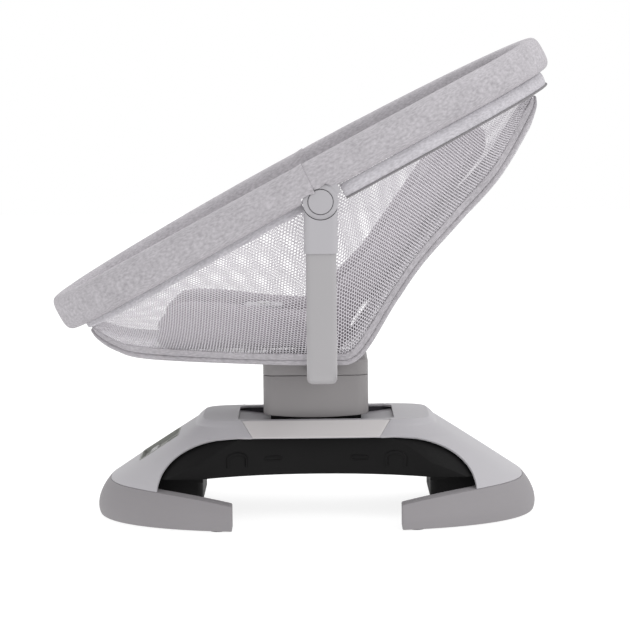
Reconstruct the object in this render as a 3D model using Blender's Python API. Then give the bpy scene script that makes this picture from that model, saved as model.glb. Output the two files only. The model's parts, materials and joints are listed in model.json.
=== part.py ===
"""Baby swing: a low four-footed base with a curved track, a column that swings along it,
a turning yoke, and a reclining oval mesh seat with a padded rim.

Frame: metres, +Z up, floor at Z = 0. -X is the foot end and +X the head end of the seat.
The model is laid out round the centre of the base, and the frame empty then shifts it, so that
the origin is the bottom centre of the whole swing's box.
"""

import math

import bmesh
import bpy
from mathutils import Matrix, Vector

# ---------------------------------------------------------------- fits
TOUCH = 0.0003          # gap between faces that touch
SLIP = 0.0005           # gap round a piece that slides or turns
CUT_MARGIN = 0.004      # how far a cutter runs past the wall it cuts

# ---------------------------------------------------------------- base
BASE_LENGTH = 0.568     # at the widest height of the foot band
BASE_WIDTH = 0.380
BAND_HEIGHT = 0.012     # height of the widest section
CREASE_END = 0.016      # the sloping shell meets the foot bands this far in from their ends
CREASE_SIDE = 0.027     # and this far in from their sides
CREASE_HEIGHT = 0.046
CREASE_DROP = 0.014     # the crease falls by this much towards the ends of the bands
TOP_LENGTH = 0.292      # flat top
TOP_WIDTH = 0.154
TOP_HEIGHT = 0.126
TOP_FILLET = 0.008      # height of the rounded edge under the flat top
TOP_FLARE = 0.009       # how far the rounded edge spreads
SHELL_WALL = 0.003      # measured down
SHELL_SPREAD = 0.001    # what the sides add, measured level
BAND_THICKNESS = 0.038
NEAR_BAND_GAP = 0.212   # between the ends of the two foot bands
FAR_BAND_GAP = 0.304
PAD_THICKNESS = 0.0015
PAD_RADIUS = 0.011
WINDOW_TOP = 0.107
WINDOW_FLAT = 0.200     # straight top of the side window
WINDOW_LENGTH = 0.404
SLOT_LENGTH = 0.200     # opening in the flat top
SLOT_WIDTH = 0.130
SLOT_CORNER = 0.004
FASCIA_TOP = 0.189      # between the slanted seams, at the flat top
FASCIA_BOTTOM = 0.162   # between them, at the window
FASCIA_WALL = 0.0015    # the shell goes on behind the fascia

TRAY_FLOOR = 0.057
TRAY_TOP = 0.104
TRAY_WALL = 0.0025
TRAY_END_WALL = 0.004   # measured level
TRAY_CLEARANCE = 0.0015
TRAY_WAIST = 0.156      # width at the middle
TRAY_FLARE = 0.036      # how much the half width grows towards the legs
LEG_START = 0.146       # inner face of a leg housing, from the centre
LEG_WIDTH = 0.132
LEG_FLOOR = 0.014
LEG_WALL = 0.003
LEG_FILLET = 0.008
INLET_HEIGHT = 0.034
INLET_RADIUS = 0.0055
INLET_BORE = 0.0032
INLET_DEPTH = 0.016

PANEL_LENGTH = 0.062    # along the foot-end slope
PANEL_WIDTH = 0.078
PANEL_DEPTH = 0.012
PANEL_CORNER = 0.006
PANEL_RIM = 0.0022
PANEL_SINK = 0.005      # depth of the recess
PANEL_PLACE = 0.2035    # its middle, from the centre of the base
LENS_LENGTH = 0.016
LENS_WIDTH = 0.040
LENS_THICKNESS = 0.0012
LENS_CORNER = 0.002
KEY_RADIUS = 0.0065
KEY_HEIGHT = 0.005
KEY_PROUD = 0.0018
KEY_TRAVEL = 0.001
KEY_PITCH = 0.021
KEY_ROW = -0.012        # keys and lens stand this far down and up the slope
LENS_ROW = 0.014

# ---------------------------------------------------------------- swing drive
SWING_AXIS_HEIGHT = 0.690
SWING_TRAVEL = 0.030    # along the rail, each way
RAIL_RADIUS = 0.610     # running face, from the swing axis
RAIL_WIDTH = 0.010
RAIL_PLACE = 0.041      # middle of a rail, from the centre
RAIL_STOP = 0.006
ROLLER_RADIUS = 0.011
ROLLER_WIDTH = 0.009
WHEELBASE = 0.090
AXLE_RADIUS = 0.003
DECK_RADIUS = 0.578     # top face of the concave deck, from the swing axis
DECK_WALL = 0.0025
DECK_LAP = 0.008        # how far the deck reaches under the slot's edge
CARRIAGE_WALL = 0.004
CARRIAGE_CHEEK = 0.026  # height of the side cheeks
NECK_WIDTH = 0.028
NECK_END_ROOM = 0.003   # past the travel, in the deck
NECK_SIDE_ROOM = 0.002
BOOT_END = 0.0095       # the column's black foot stands this far in from its ends
BOOT_SIDE = 0.008       # and this far in from its sides
BOOT_GAP = 0.002
MAGNET_LENGTH = 0.040
MAGNET_WIDTH = 0.030
MAGNET_HEIGHT = 0.0045
COIL_RADIUS = 0.025
COIL_BORE = 0.010
COIL_HEIGHT = 0.024
BOARD_LENGTH = 0.056
BOARD_WIDTH = 0.070
BOARD_THICKNESS = 0.0016
BOARD_PLACE = -0.138
BOSS_RADIUS = 0.003
BOSS_HEIGHT = 0.004

# ---------------------------------------------------------------- column and yoke
COLUMN_LENGTH = 0.135
COLUMN_WIDTH = 0.120
COLUMN_CORNER = 0.015
COLUMN_RADIUS = 0.563   # concave-following bottom edge, from the swing axis
COLUMN_TOP = 0.181
COLUMN_WALL = 0.003
TURRET_SEAM = 0.0006
TURRET_HEIGHT = 0.0204
SPINDLE_RADIUS = 0.016
SPINDLE_DROP = 0.036    # below the column's top
SPINDLE_LIP = 0.004
SPINDLE_FLANGE = 0.038
FLANGE_THICKNESS = 0.002
BUSH_WALL = 0.007
BUSH_HEIGHT = 0.024

YOKE_X = 0.008
YOKE_WIDTH = 0.037
YOKE_DEPTH = 0.020
YOKE_WALL = 0.002
YOKE_CORNER = 0.007
YOKE_BEND = 0.046
CROSSBAR_HEIGHT = 0.1915  # inside the turret
CROSSBAR_DEPTH = 0.015
CROSSBAR_RISE = 0.0035  # how much higher it is outside the turret
CROSSBAR_STEP = 0.080   # how far out from the turret's side it stays low, clear of the hoop
ARM_STRAIGHT = 2.6      # the bar has its full depth from here up, in bend radii
SLEEVE_WIDTH = 0.041
SLEEVE_DEPTH = 0.024
SLEEVE_FOOT = 0.3522
SLEEVE_CORNER = 0.008
ARM_OVERLAP = 0.024     # length of arm inside its sleeve

# ---------------------------------------------------------------- hubs
HUB_HEIGHT = 0.4147
HUB_RADIUS = 0.0214
HUB_SEAT = 0.0005       # the bracket disc's inner face, outside the ring's centre line
HUB_THICKNESS = 0.0095
EAR_RADIUS = 0.0185
EAR_THICKNESS = 0.009
PIN_RADIUS = 0.005
BUTTON_RADIUS = 0.0149
BUTTON_THICKNESS = 0.005
BUTTON_PROUD = 0.0014
BUTTON_TRAVEL = 0.003
TAB_LENGTH = 0.028
TAB_INSET = 0.001       # behind the bracket disc's face
RISER_LAP = 0.012       # how far the riser runs back and down over the disc
SOCKET_RADIUS = 0.0105
SOCKET_LENGTH = 0.054

# ---------------------------------------------------------------- seat ring, in the tilted plane of the seat
SEAT_TILT = math.radians(28.1)
RING_LENGTH = 0.683     # centre line of the ring's tube
RING_WIDTH = 0.470
RING_POWER = 2.15       # 2 is an ellipse, more is squarer
RING_SHIFT = -0.0175    # middle of the ring, along the seat from the hubs
RING_RISE = 0.022       # ring tips above the hubs
RING_ARCH = 0.007       # extra height at the middle
TUBE_RADIUS = 0.008
TUBE_WALL = 0.0013
RIM_HEIGHT = 0.046
RIM_DEPTH = 0.028
RIM_SEAM = -0.0015      # where the two padded sleeves meet, along the seat
RIM_SEAM_GAP = 0.0008
POCKET_RADIUS = 0.0235  # room round a hub inside the padded rim
POCKET_GAP = 0.0010     # between a recline button and the cloth outside it
BAND_START = 0.030
BAND_DEPTH = 0.017
BAND_CLOTH = 0.002
BAND_INSET = 0.011
MESH_INSET = 0.0165
MESH_CLOTH = 0.0015
HOOP_RADIUS = 0.004
SLING_CLOTH = 0.002
HEM_GAP = 0.0016        # between a cloth's edge and the hoop that it is sewn round
SLING_RISE = 0.0035     # above the hoop's middle
BACK_BULGE = 0.012

# Middle of the lower hoop: X from the base centre, half width, height.
HOOP_ROUTE = (
    (-0.288, 0.000, 0.236), (-0.276, 0.046, 0.231), (-0.252, 0.074, 0.2205), (-0.209, 0.098, 0.2125),
    (-0.066, 0.124, 0.2075), (0.020, 0.126, 0.2060), (0.046, 0.126, 0.2085), (0.066, 0.124, 0.2285),
    (0.098, 0.117, 0.2800), (0.133, 0.112, 0.3300), (0.180, 0.108, 0.3820), (0.230, 0.100, 0.4360),
    (0.270, 0.070, 0.4990), (0.281, 0.046, 0.5200), (0.285, 0.000, 0.5310),
)

# ---------------------------------------------------------------- insert and harness
PAD_WIDTH = 0.144
SEAT_PAD_BACK = 0.036   # X of its two ends
SEAT_PAD_FRONT = -0.215
PAD_LOFT = 0.026
PAD_LIFT = 0.008        # above the hoop's middle line
BACK_ANGLE = math.radians(52)
BACK_FOOT = (0.064, 0.252)
BACK_PAD_LENGTH = 0.290
BACK_PAD_REAR = 0.012   # behind it, to the line of the back
PAD_EDGE = 0.009
BOLSTER_WIDTH = 0.030
BOLSTER_GAP = 0.002
SEAT_BOLSTER_TOP = 0.279
BACK_BOLSTER_DEPTH = 0.062
BOLSTER_ELBOW = 0.075   # up the back, where its side meets the seat's
HEAD_PAD_LENGTH = 0.100
HEAD_PAD_LOFT = 0.022
STRAP_WIDTH = 0.025
STRAP_THICKNESS = 0.0016
BUCKLE_LENGTH = 0.050
BUCKLE_WIDTH = 0.044
BUCKLE_THICKNESS = 0.014
BUCKLE_X = -0.066
BUCKLE_HEIGHT = 0.262
BUCKLE_KEY = 0.009
BUCKLE_TRAVEL = 0.002
BUCKLE_PROUD = 0.002    # the key, above the buckle

RING_STATIONS = 24      # along each side of the ring
TUBE_SIDES = 8
BASE_SIDES = 40
CYLINDER_SIDES = 24

CREASE_LENGTH = BASE_LENGTH - 2 * CREASE_END
CREASE_WIDTH = BASE_WIDTH - 2 * CREASE_SIDE
BOOT_LENGTH = COLUMN_LENGTH - 2 * BOOT_END
BOOT_WIDTH = COLUMN_WIDTH - 2 * BOOT_SIDE
YOKE_SPREAD = RING_WIDTH  # the arms stand under the ring's tubes
HUB_INNER = RING_WIDTH / 2 + HUB_SEAT
HUB_OUTER = HUB_INNER + HUB_THICKNESS
POCKET_FACE = HUB_OUTER + BUTTON_PROUD + POCKET_GAP
HUB = Vector((YOKE_X, 0.0, HUB_HEIGHT))
SEAT_ALONG = Vector((math.cos(SEAT_TILT), 0.0, math.sin(SEAT_TILT)))
SEAT_UP = Vector((-math.sin(SEAT_TILT), 0.0, math.cos(SEAT_TILT)))
SWING_AXIS = Vector((0.0, 0.0, SWING_AXIS_HEIGHT))
SIDES = (("near", -1), ("far", 1))
ENDS = (("foot_end", -1), ("head_end", 1))


# ================================================================ helpers
def clear_scene():
    for obj in list(bpy.data.objects):
        bpy.data.objects.remove(obj, do_unlink=True)


def material(name, colour, roughness, metallic=0.0):
    made = bpy.data.materials.new(name)
    made.use_nodes = True
    shader = made.node_tree.nodes["Principled BSDF"]
    shader.inputs["Base Color"].default_value = (*colour, 1.0)
    shader.inputs["Roughness"].default_value = roughness
    shader.inputs["Metallic"].default_value = metallic
    return made


def empty(name, place, parent=None):
    made = bpy.data.objects.new(name, None)
    bpy.context.scene.collection.objects.link(made)
    made.parent = parent
    made.location = place if parent is None else place - Vector(parent["place"])
    made["place"] = place
    return made


def to_object(name, bm):
    """A new object from a bmesh, with its faces turned outwards."""
    bmesh.ops.remove_doubles(bm, verts=bm.verts, dist=1e-7)
    bmesh.ops.recalc_face_normals(bm, faces=bm.faces)
    mesh = bpy.data.meshes.new(name)
    bm.to_mesh(mesh)
    bm.free()
    made = bpy.data.objects.new(name, mesh)
    bpy.context.scene.collection.objects.link(made)
    return made


def loft(name, rings, closed=False):
    """A solid through rings of as many points each. A closed loft joins its last ring to its first."""
    bm = bmesh.new()
    loops = [[bm.verts.new(point) for point in ring] for ring in rings]
    pairs = list(zip(loops, loops[1:]))
    if closed:
        pairs.append((loops[-1], loops[0]))
    for lower, upper in pairs:
        for i in range(len(lower)):
            j = (i + 1) % len(lower)
            bm.faces.new((lower[i], lower[j], upper[j], upper[i]))
    if not closed:
        bm.faces.new(list(reversed(loops[0])))
        bm.faces.new(loops[-1])
    return to_object(name, bm)


def pipe(name, outer_rings, inner_rings):
    """A hollow bar with open ends: outer and inner walls joined by a lip at each end."""
    bm = bmesh.new()
    outer = [[bm.verts.new(point) for point in ring] for ring in outer_rings]
    inner = [[bm.verts.new(point) for point in ring] for ring in inner_rings]
    for rows in (outer, inner, (outer[0], inner[0]), (outer[-1], inner[-1])):
        for lower, upper in zip(rows, rows[1:]):
            for i in range(len(lower)):
                j = (i + 1) % len(lower)
                bm.faces.new((lower[i], lower[j], upper[j], upper[i]))
    return to_object(name, bm)


def prism(name, outline, low, high, axis="Y"):
    """An outline pushed from low to high along an axis. It gives the other two coordinates in order."""
    place = {
        "X": lambda a, b, c: (c, a, b),
        "Y": lambda a, b, c: (a, c, b),
        "Z": lambda a, b, c: (a, b, c),
    }[axis]
    return loft(name, [[place(a, b, level) for a, b in outline] for level in (low, high)])


def cylinder(name, radius, low, high, axis="Z", centre=(0.0, 0.0), sides=CYLINDER_SIDES):
    return prism(name, arc(centre, radius, 0, math.tau, sides)[:-1], low, high, axis)


def box(name, low, high):
    corners = ((low[0], low[1]), (high[0], low[1]), (high[0], high[1]), (low[0], high[1]))
    return prism(name, corners, low[2], high[2], "Z")


def arc(centre, radius, start, end, steps):
    """Points on a circle, or on an ellipse when the radius is a pair."""
    across, up = radius if isinstance(radius, tuple) else (radius, radius)
    turns = (start + (end - start) * i / steps for i in range(steps + 1))
    return [(centre[0] + across * math.cos(turn), centre[1] + up * math.sin(turn)) for turn in turns]


def rounded_rectangle(length, width, corner, steps=3, centre=(0.0, 0.0)):
    points = []
    for quarter, (sx, sy) in enumerate(((1, 1), (-1, 1), (-1, -1), (1, -1))):
        middle = (centre[0] + sx * (length / 2 - corner), centre[1] + sy * (width / 2 - corner))
        points += arc(middle, corner, quarter * math.pi / 2, (quarter + 1) * math.pi / 2, steps)
    return points


def rounded_box(name, length, width, low, high, corner, centre=(0.0, 0.0)):
    return prism(name, rounded_rectangle(length, width, corner, centre=centre), low, high, "Z")


def apply_modifiers(obj):
    graph = bpy.context.evaluated_depsgraph_get()
    mesh = bpy.data.meshes.new_from_object(obj.evaluated_get(graph))
    obj.modifiers.clear()
    obj.data = mesh


def combine(obj, operation, others):
    for other in others:
        modifier = obj.modifiers.new(operation.lower(), "BOOLEAN")
        modifier.operation = operation
        modifier.solver = "EXACT"
        modifier.object = other
        apply_modifiers(obj)
        bpy.data.objects.remove(other, do_unlink=True)
    return obj


def cut(obj, *cutters):
    return combine(obj, "DIFFERENCE", cutters)


def join(obj, *others):
    return combine(obj, "UNION", others)


def keep_inside(obj, other):
    return combine(obj, "INTERSECT", (other,))


def bevel(obj, width, segments=2, angle=40):
    modifier = obj.modifiers.new("edge", "BEVEL")
    modifier.width = width
    modifier.segments = segments
    modifier.limit_method = "ANGLE"
    modifier.angle_limit = math.radians(angle)
    apply_modifiers(obj)
    return obj


def triangulate(obj):
    """Makes every face flat, so that Booleans cut a twisted form cleanly."""
    bm = bmesh.new()
    bm.from_mesh(obj.data)
    bmesh.ops.triangulate(bm, faces=bm.faces)
    bm.to_mesh(obj.data)
    bm.free()
    return obj


def copy_of(obj, name, mirror_y=False):
    mesh = obj.data.copy()
    made = bpy.data.objects.new(name, mesh)
    bpy.context.scene.collection.objects.link(made)
    if mirror_y:
        mesh.transform(Matrix.Scale(-1, 4, (0, 1, 0)))
        mesh.flip_normals()
    return made


def finish(obj, parent, finish_material, smooth=35):
    """Hangs a piece that was made in place on its frame or axis, and gives it its material."""
    obj.data.materials.clear()
    obj.data.materials.append(finish_material)
    obj.data.shade_smooth()
    obj.data.set_sharp_from_angle(angle=math.radians(smooth))
    obj.data.transform(Matrix.Translation(-Vector(parent["place"])) @ obj.matrix_basis)
    obj.matrix_basis = Matrix.Identity(4)
    obj.parent = parent
    return obj


def smooth_route(points, steps):
    """A Catmull-Rom curve through the points, with so many steps between each two."""
    points = [Vector(point) for point in points]
    padded = [2 * points[0] - points[1], *points, 2 * points[-1] - points[-2]]
    route = []
    for before, start, end, after in zip(padded, padded[1:], padded[2:], padded[3:]):
        for i in range(steps):
            t = i / steps
            route.append(0.5 * (
                2 * start + (end - before) * t + (2 * before - 5 * start + 4 * end - after) * t**2
                + (3 * start - before - 3 * end + after) * t**3
            ))
    return route + [points[-1]]


# ================================================================ base
def base_sections():
    """Height, half length, half width and squareness of the base's level sections."""
    slope_top = TOP_HEIGHT - TOP_FILLET
    return (
        (0.000, BASE_LENGTH / 2 - 0.003, BASE_WIDTH / 2 - 0.002, 2.45),
        (BAND_HEIGHT, BASE_LENGTH / 2, BASE_WIDTH / 2, 2.45),
        (0.6 * CREASE_HEIGHT, BASE_LENGTH / 2 - 0.004, BASE_WIDTH / 2 - 0.009, 2.5),
        (CREASE_HEIGHT, CREASE_LENGTH / 2, CREASE_WIDTH / 2, 2.6),
        ((CREASE_HEIGHT + slope_top) / 2, (CREASE_LENGTH + TOP_LENGTH) / 4 + TOP_FLARE / 2,
         (CREASE_WIDTH + TOP_WIDTH) / 4 + TOP_FLARE / 2, 3.4),
        (slope_top, TOP_LENGTH / 2 + TOP_FLARE, TOP_WIDTH / 2 + TOP_FLARE, 4.8),
        (TOP_HEIGHT - TOP_FILLET / 4, TOP_LENGTH / 2 + TOP_FLARE / 3, TOP_WIDTH / 2 + TOP_FLARE / 4, 5.4),
        (TOP_HEIGHT, TOP_LENGTH / 2, TOP_WIDTH / 2, 6.0),
    )


def section_at(height):
    sections = base_sections()
    for low, high in zip(sections, sections[1:]):
        if height <= high[0]:
            share = (height - low[0]) / (high[0] - low[0])
            return tuple(a + (b - a) * share for a, b in zip(low, high))
    return sections[-1]


def base_ring(height, inset=0.0, level=None):
    _, half_length, half_width, power = section_at(height)
    ring = []
    for i in range(BASE_SIDES):
        turn = math.tau * i / BASE_SIDES
        c, s = math.cos(turn), math.sin(turn)
        x = math.copysign(abs(c) ** (2 / power), c) * (half_length - inset)
        y = math.copysign(abs(s) ** (2 / power), s) * (half_width - inset)
        ring.append((x, y, height if level is None else level))
    return ring


def base_body(name, low, high, inset=0.0):
    """The base's outer form between two heights, or the same form drawn in by an inset."""
    heights = [low] + [s[0] for s in base_sections() if low < s[0] < high] + [high]
    return triangulate(loft(name, [base_ring(height, inset) for height in heights]))


def room_inside(name, low, high, gap=0.0):
    """The room inside the base shell between two heights, less a gap."""
    room = base_body(name, 0.0, TOP_HEIGHT, SHELL_SPREAD + gap)
    room.data.transform(Matrix.Translation((0, 0, -SHELL_WALL)))
    if low > -SHELL_WALL or high < TOP_HEIGHT - SHELL_WALL:
        keep_inside(room, box("keep", (-BASE_LENGTH, -BASE_WIDTH, low), (BASE_LENGTH, BASE_WIDTH, high)))
    return room


def crease_line(gap=0.0):
    """The curved seam between shell and foot bands, seen from the side, as points from -X to +X."""
    half, reach = BASE_LENGTH / 2 + CUT_MARGIN, CREASE_LENGTH / 2 - NEAR_BAND_GAP / 2
    points = []
    for i in range(33):
        x = -half + 2 * half * i / 32
        share = max(0.0, (CREASE_LENGTH / 2 - abs(x)) / reach)
        points.append((x, CREASE_HEIGHT - CREASE_DROP * share**2 + gap))
    return points


def below_crease(gap):
    line = crease_line(gap)
    floor = -CUT_MARGIN
    return prism("cutter", [(line[0][0], floor), *line, (line[-1][0], floor)], -BASE_WIDTH, BASE_WIDTH)


def above_crease(gap):
    line = crease_line(gap)
    sky = TOP_HEIGHT + CUT_MARGIN
    return prism("cutter", [(line[0][0], sky), *line, (line[-1][0], sky)], -BASE_WIDTH, BASE_WIDTH)


def window_cutter():
    """The side window: a flat top and a quarter ellipse at each end, down past the feet."""
    half_flat, half = WINDOW_FLAT / 2, WINDOW_LENGTH / 2
    foot = CREASE_HEIGHT - 0.002
    size = (half - half_flat, WINDOW_TOP - foot)
    right = arc((half_flat, foot), size, math.pi / 2, 0, 10)
    left = arc((-half_flat, foot), size, math.pi, math.pi / 2, 10)
    outline = [(-half, -CUT_MARGIN), *left, *right, (half, -CUT_MARGIN)]
    return prism("cutter", outline, -BASE_WIDTH, BASE_WIDTH)


def fascia_outline(gap):
    drop = TOP_HEIGHT + CUT_MARGIN - WINDOW_TOP
    lean = (FASCIA_TOP - FASCIA_BOTTOM) / 2 / (TOP_HEIGHT - WINDOW_TOP)
    low, high = WINDOW_TOP - CUT_MARGIN, TOP_HEIGHT + CUT_MARGIN
    bottom = FASCIA_BOTTOM / 2 - lean * CUT_MARGIN - gap
    top = FASCIA_BOTTOM / 2 + lean * drop - gap
    return [(-bottom, low), (-top, high), (top, high), (bottom, low)]


def fascia_core(gap):
    """The base's form under the fascias."""
    core = base_body("core", 0.0, TOP_HEIGHT, FASCIA_WALL * SHELL_SPREAD / SHELL_WALL + gap)
    core.data.transform(Matrix.Translation((0, 0, -FASCIA_WALL - gap)))
    return core


def panel_frame():
    """A frame on the foot-end slope: X down the slope, Y across, Z out of it."""
    _, crease_reach, _, _ = section_at(CREASE_HEIGHT)
    slope_top = TOP_HEIGHT - TOP_FILLET
    _, top_reach, _, _ = section_at(slope_top)
    slope = math.atan2(slope_top - CREASE_HEIGHT, crease_reach - top_reach)
    height = CREASE_HEIGHT + (crease_reach - PANEL_PLACE) * math.tan(slope)
    return Matrix.Translation((-PANEL_PLACE, 0, height)) @ Matrix.Rotation(math.pi, 4, "Z") \
        @ Matrix.Rotation(slope, 4, "Y")


def base_shell(frame_empty, plastic):
    shell = base_body("base_shell", 0.0, TOP_HEIGHT)
    hollow = room_inside("cutter", -SHELL_WALL, TOP_HEIGHT - SHELL_WALL)
    sky = TOP_HEIGHT + CUT_MARGIN
    slot = rounded_box("cutter", SLOT_LENGTH, SLOT_WIDTH, TOP_HEIGHT - 3 * SHELL_WALL, sky, SLOT_CORNER)
    panel = rounded_box("cutter", PANEL_LENGTH, PANEL_WIDTH, -PANEL_DEPTH, CUT_MARGIN, PANEL_CORNER)
    panel.data.transform(panel_frame())
    cut(shell, window_cutter(), below_crease(TOUCH), hollow, slot, panel)
    whole = copy_of(shell, "whole")
    cut(shell, cut(prism("cutter", fascia_outline(-TOUCH / 2), -BASE_WIDTH, BASE_WIDTH), fascia_core(TOUCH)))
    finish(shell, frame_empty, plastic)
    for side, sign in SIDES:
        fascia = copy_of(whole, f"fascia_{side}")
        keep_inside(fascia, prism("keep", fascia_outline(TOUCH / 2), *sorted((0.0, sign * BASE_WIDTH))))
        cut(fascia, fascia_core(0.0))
        finish(fascia, frame_empty, plastic)
    bpy.data.objects.remove(whole, do_unlink=True)


def band_inner_ring(inset):
    return base_ring(BAND_HEIGHT, inset)


def foot_bands(frame_empty, plastic):
    for end, sign in ENDS:
        band = base_body(f"foot_band_{end}", PAD_THICKNESS + TOUCH, CREASE_HEIGHT)
        ring = [(x, y) for x, y, _ in band_inner_ring(BAND_THICKNESS)]
        inner = prism("cutter", ring, -CUT_MARGIN, CREASE_HEIGHT + CUT_MARGIN, "Z")
        near_half, far_half = NEAR_BAND_GAP / 2, FAR_BAND_GAP / 2
        low, high = -CUT_MARGIN, CREASE_HEIGHT + CUT_MARGIN
        near = box("cutter", (-near_half, -BASE_WIDTH, low), (near_half, 0, high))
        far = box("cutter", (-far_half, -CUT_MARGIN, low), (far_half, BASE_WIDTH, high))
        other = box("cutter", (0, -BASE_WIDTH, low), (-sign * BASE_LENGTH, BASE_WIDTH, high))
        cut(band, inner, above_crease(0.0), near, far, other)
        finish(band, frame_empty, plastic)


def foot_pads(frame_empty, rubber):
    """Two round pads under each band, in from its two ends, and one under its tip."""
    _, half_length, half_width, power = section_at(BAND_HEIGHT)
    reach, width = half_length - BAND_THICKNESS / 2, half_width - BAND_THICKNESS / 2
    for end, sign in ENDS:
        for side, turn in (("near", -1), ("far", 1)):
            gap = NEAR_BAND_GAP if turn < 0 else FAR_BAND_GAP
            x = gap / 2 + 1.6 * PAD_RADIUS
            y = turn * width * (1 - (x / reach) ** power) ** (1 / power)
            pad = cylinder(f"foot_pad_{end}_{side}", PAD_RADIUS, 0, PAD_THICKNESS, "Z", (sign * x, y), 20)
            finish(pad, frame_empty, rubber)


def tray_half_width(x, inset=0.0):
    share = min(1.0, abs(x) / LEG_START)
    return TRAY_WAIST / 2 + TRAY_FLARE * share**2.2 - inset


def tray_side_cutter(sign, inset, low, high):
    reach = BASE_LENGTH / 2
    places = [-reach] + [LEG_START * (i - 6) / 6 for i in range(13)] + [reach]
    curve = [(x, sign * tray_half_width(x, inset)) for x in places]
    outline = [(-reach, sign * BASE_WIDTH), *curve, (reach, sign * BASE_WIDTH)]
    return prism("cutter", outline, low, high, "Z")


def base_tray(frame_empty, plastic):
    """The open-topped inner housing, seen as the black wall inside the side windows."""
    tray = room_inside("base_tray", TRAY_FLOOR, TRAY_TOP, TRAY_CLEARANCE)
    low, high = TRAY_FLOOR - CUT_MARGIN, TRAY_TOP + CUT_MARGIN
    cut(tray, tray_side_cutter(-1, 0.0, low, high), tray_side_cutter(1, 0.0, low, high))
    well = room_inside("cutter", TRAY_FLOOR + TRAY_WALL, high, TRAY_CLEARANCE + TRAY_END_WALL)
    high += CUT_MARGIN
    cut(well, tray_side_cutter(-1, TRAY_WALL, low, high), tray_side_cutter(1, TRAY_WALL, low, high))
    length, width = PANEL_LENGTH + 2 * SLIP, PANEL_WIDTH + 2 * SLIP
    panel = rounded_box("cutter", length, width, -2 * PANEL_DEPTH, 0, PANEL_CORNER)
    panel.data.transform(panel_frame())
    cut(tray, well, panel)
    floor = TRAY_FLOOR + TRAY_WALL
    bosses = []
    for sx in (-1, 1):
        for sy in (-1, 1):
            centre = (BOARD_PLACE + sx * 0.4 * BOARD_LENGTH, sy * 0.4 * BOARD_WIDTH)
            low, high = floor - TRAY_WALL / 2, floor + BOSS_HEIGHT
            bosses.append(cylinder("boss", BOSS_RADIUS, low, high, "Z", centre, 16))
    join(tray, *bosses)
    finish(tray, frame_empty, plastic)


def leg_housings(frame_empty, plastic):
    """Hollow black blocks that stand on the foot bands' inner faces and carry the tray."""
    top = TRAY_FLOOR - TOUCH
    outer = [(x, y) for x, y, _ in band_inner_ring(BAND_THICKNESS + TOUCH)]
    inner = [(x, y) for x, y, _ in band_inner_ring(BAND_THICKNESS + TOUCH + LEG_WALL)]
    for end, sign in ENDS:
        leg = prism(f"leg_housing_{end}", outer, LEG_FLOOR, top, "Z")
        start, reach = sorted((sign * LEG_START, sign * BASE_LENGTH))
        keep_inside(leg, box("keep", (start, -LEG_WIDTH / 2, 0), (reach, LEG_WIDTH / 2, TOP_HEIGHT)))
        bevel(leg, LEG_FILLET, 3, 80)
        low = top - LEG_FILLET
        level = box("cutter", (-BASE_LENGTH, -BASE_WIDTH, low), (BASE_LENGTH, BASE_WIDTH, TOP_HEIGHT))
        cap = prism("cap", outer, top - 1.5 * LEG_FILLET, top, "Z")
        keep_inside(cap, box("keep", (start, -LEG_WIDTH / 2, 0), (reach, LEG_WIDTH / 2, TOP_HEIGHT)))
        join(cut(leg, level), cap)
        well = prism("cutter", inner, LEG_FLOOR + LEG_WALL, top + CUT_MARGIN, "Z")
        start, reach = sorted((sign * (LEG_START + LEG_WALL), sign * BASE_LENGTH))
        inside = LEG_WIDTH / 2 - LEG_WALL
        keep_inside(well, box("keep", (start, -inside, 0), (reach, inside, TOP_HEIGHT)))
        cut(leg, well)
        if sign > 0:
            low, high = LEG_START - CUT_MARGIN, LEG_START + LEG_WALL + CUT_MARGIN
            cut(leg, cylinder("cutter", INLET_RADIUS + TOUCH, low, high, "X", (0.0, INLET_HEIGHT)))
        keep_inside(leg, room_inside("keep", 0, top + CUT_MARGIN, TOUCH))
        finish(leg, frame_empty, plastic)


def power_inlet(frame_empty, plastic):
    centre = (0.0, INLET_HEIGHT)
    jack = cylinder("power_inlet", INLET_RADIUS, LEG_START, LEG_START + INLET_DEPTH, "X", centre)
    end = LEG_START + 0.75 * INLET_DEPTH
    cut(jack, cylinder("cutter", INLET_BORE, LEG_START - CUT_MARGIN, end, "X", centre))
    finish(jack, frame_empty, plastic)


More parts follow.
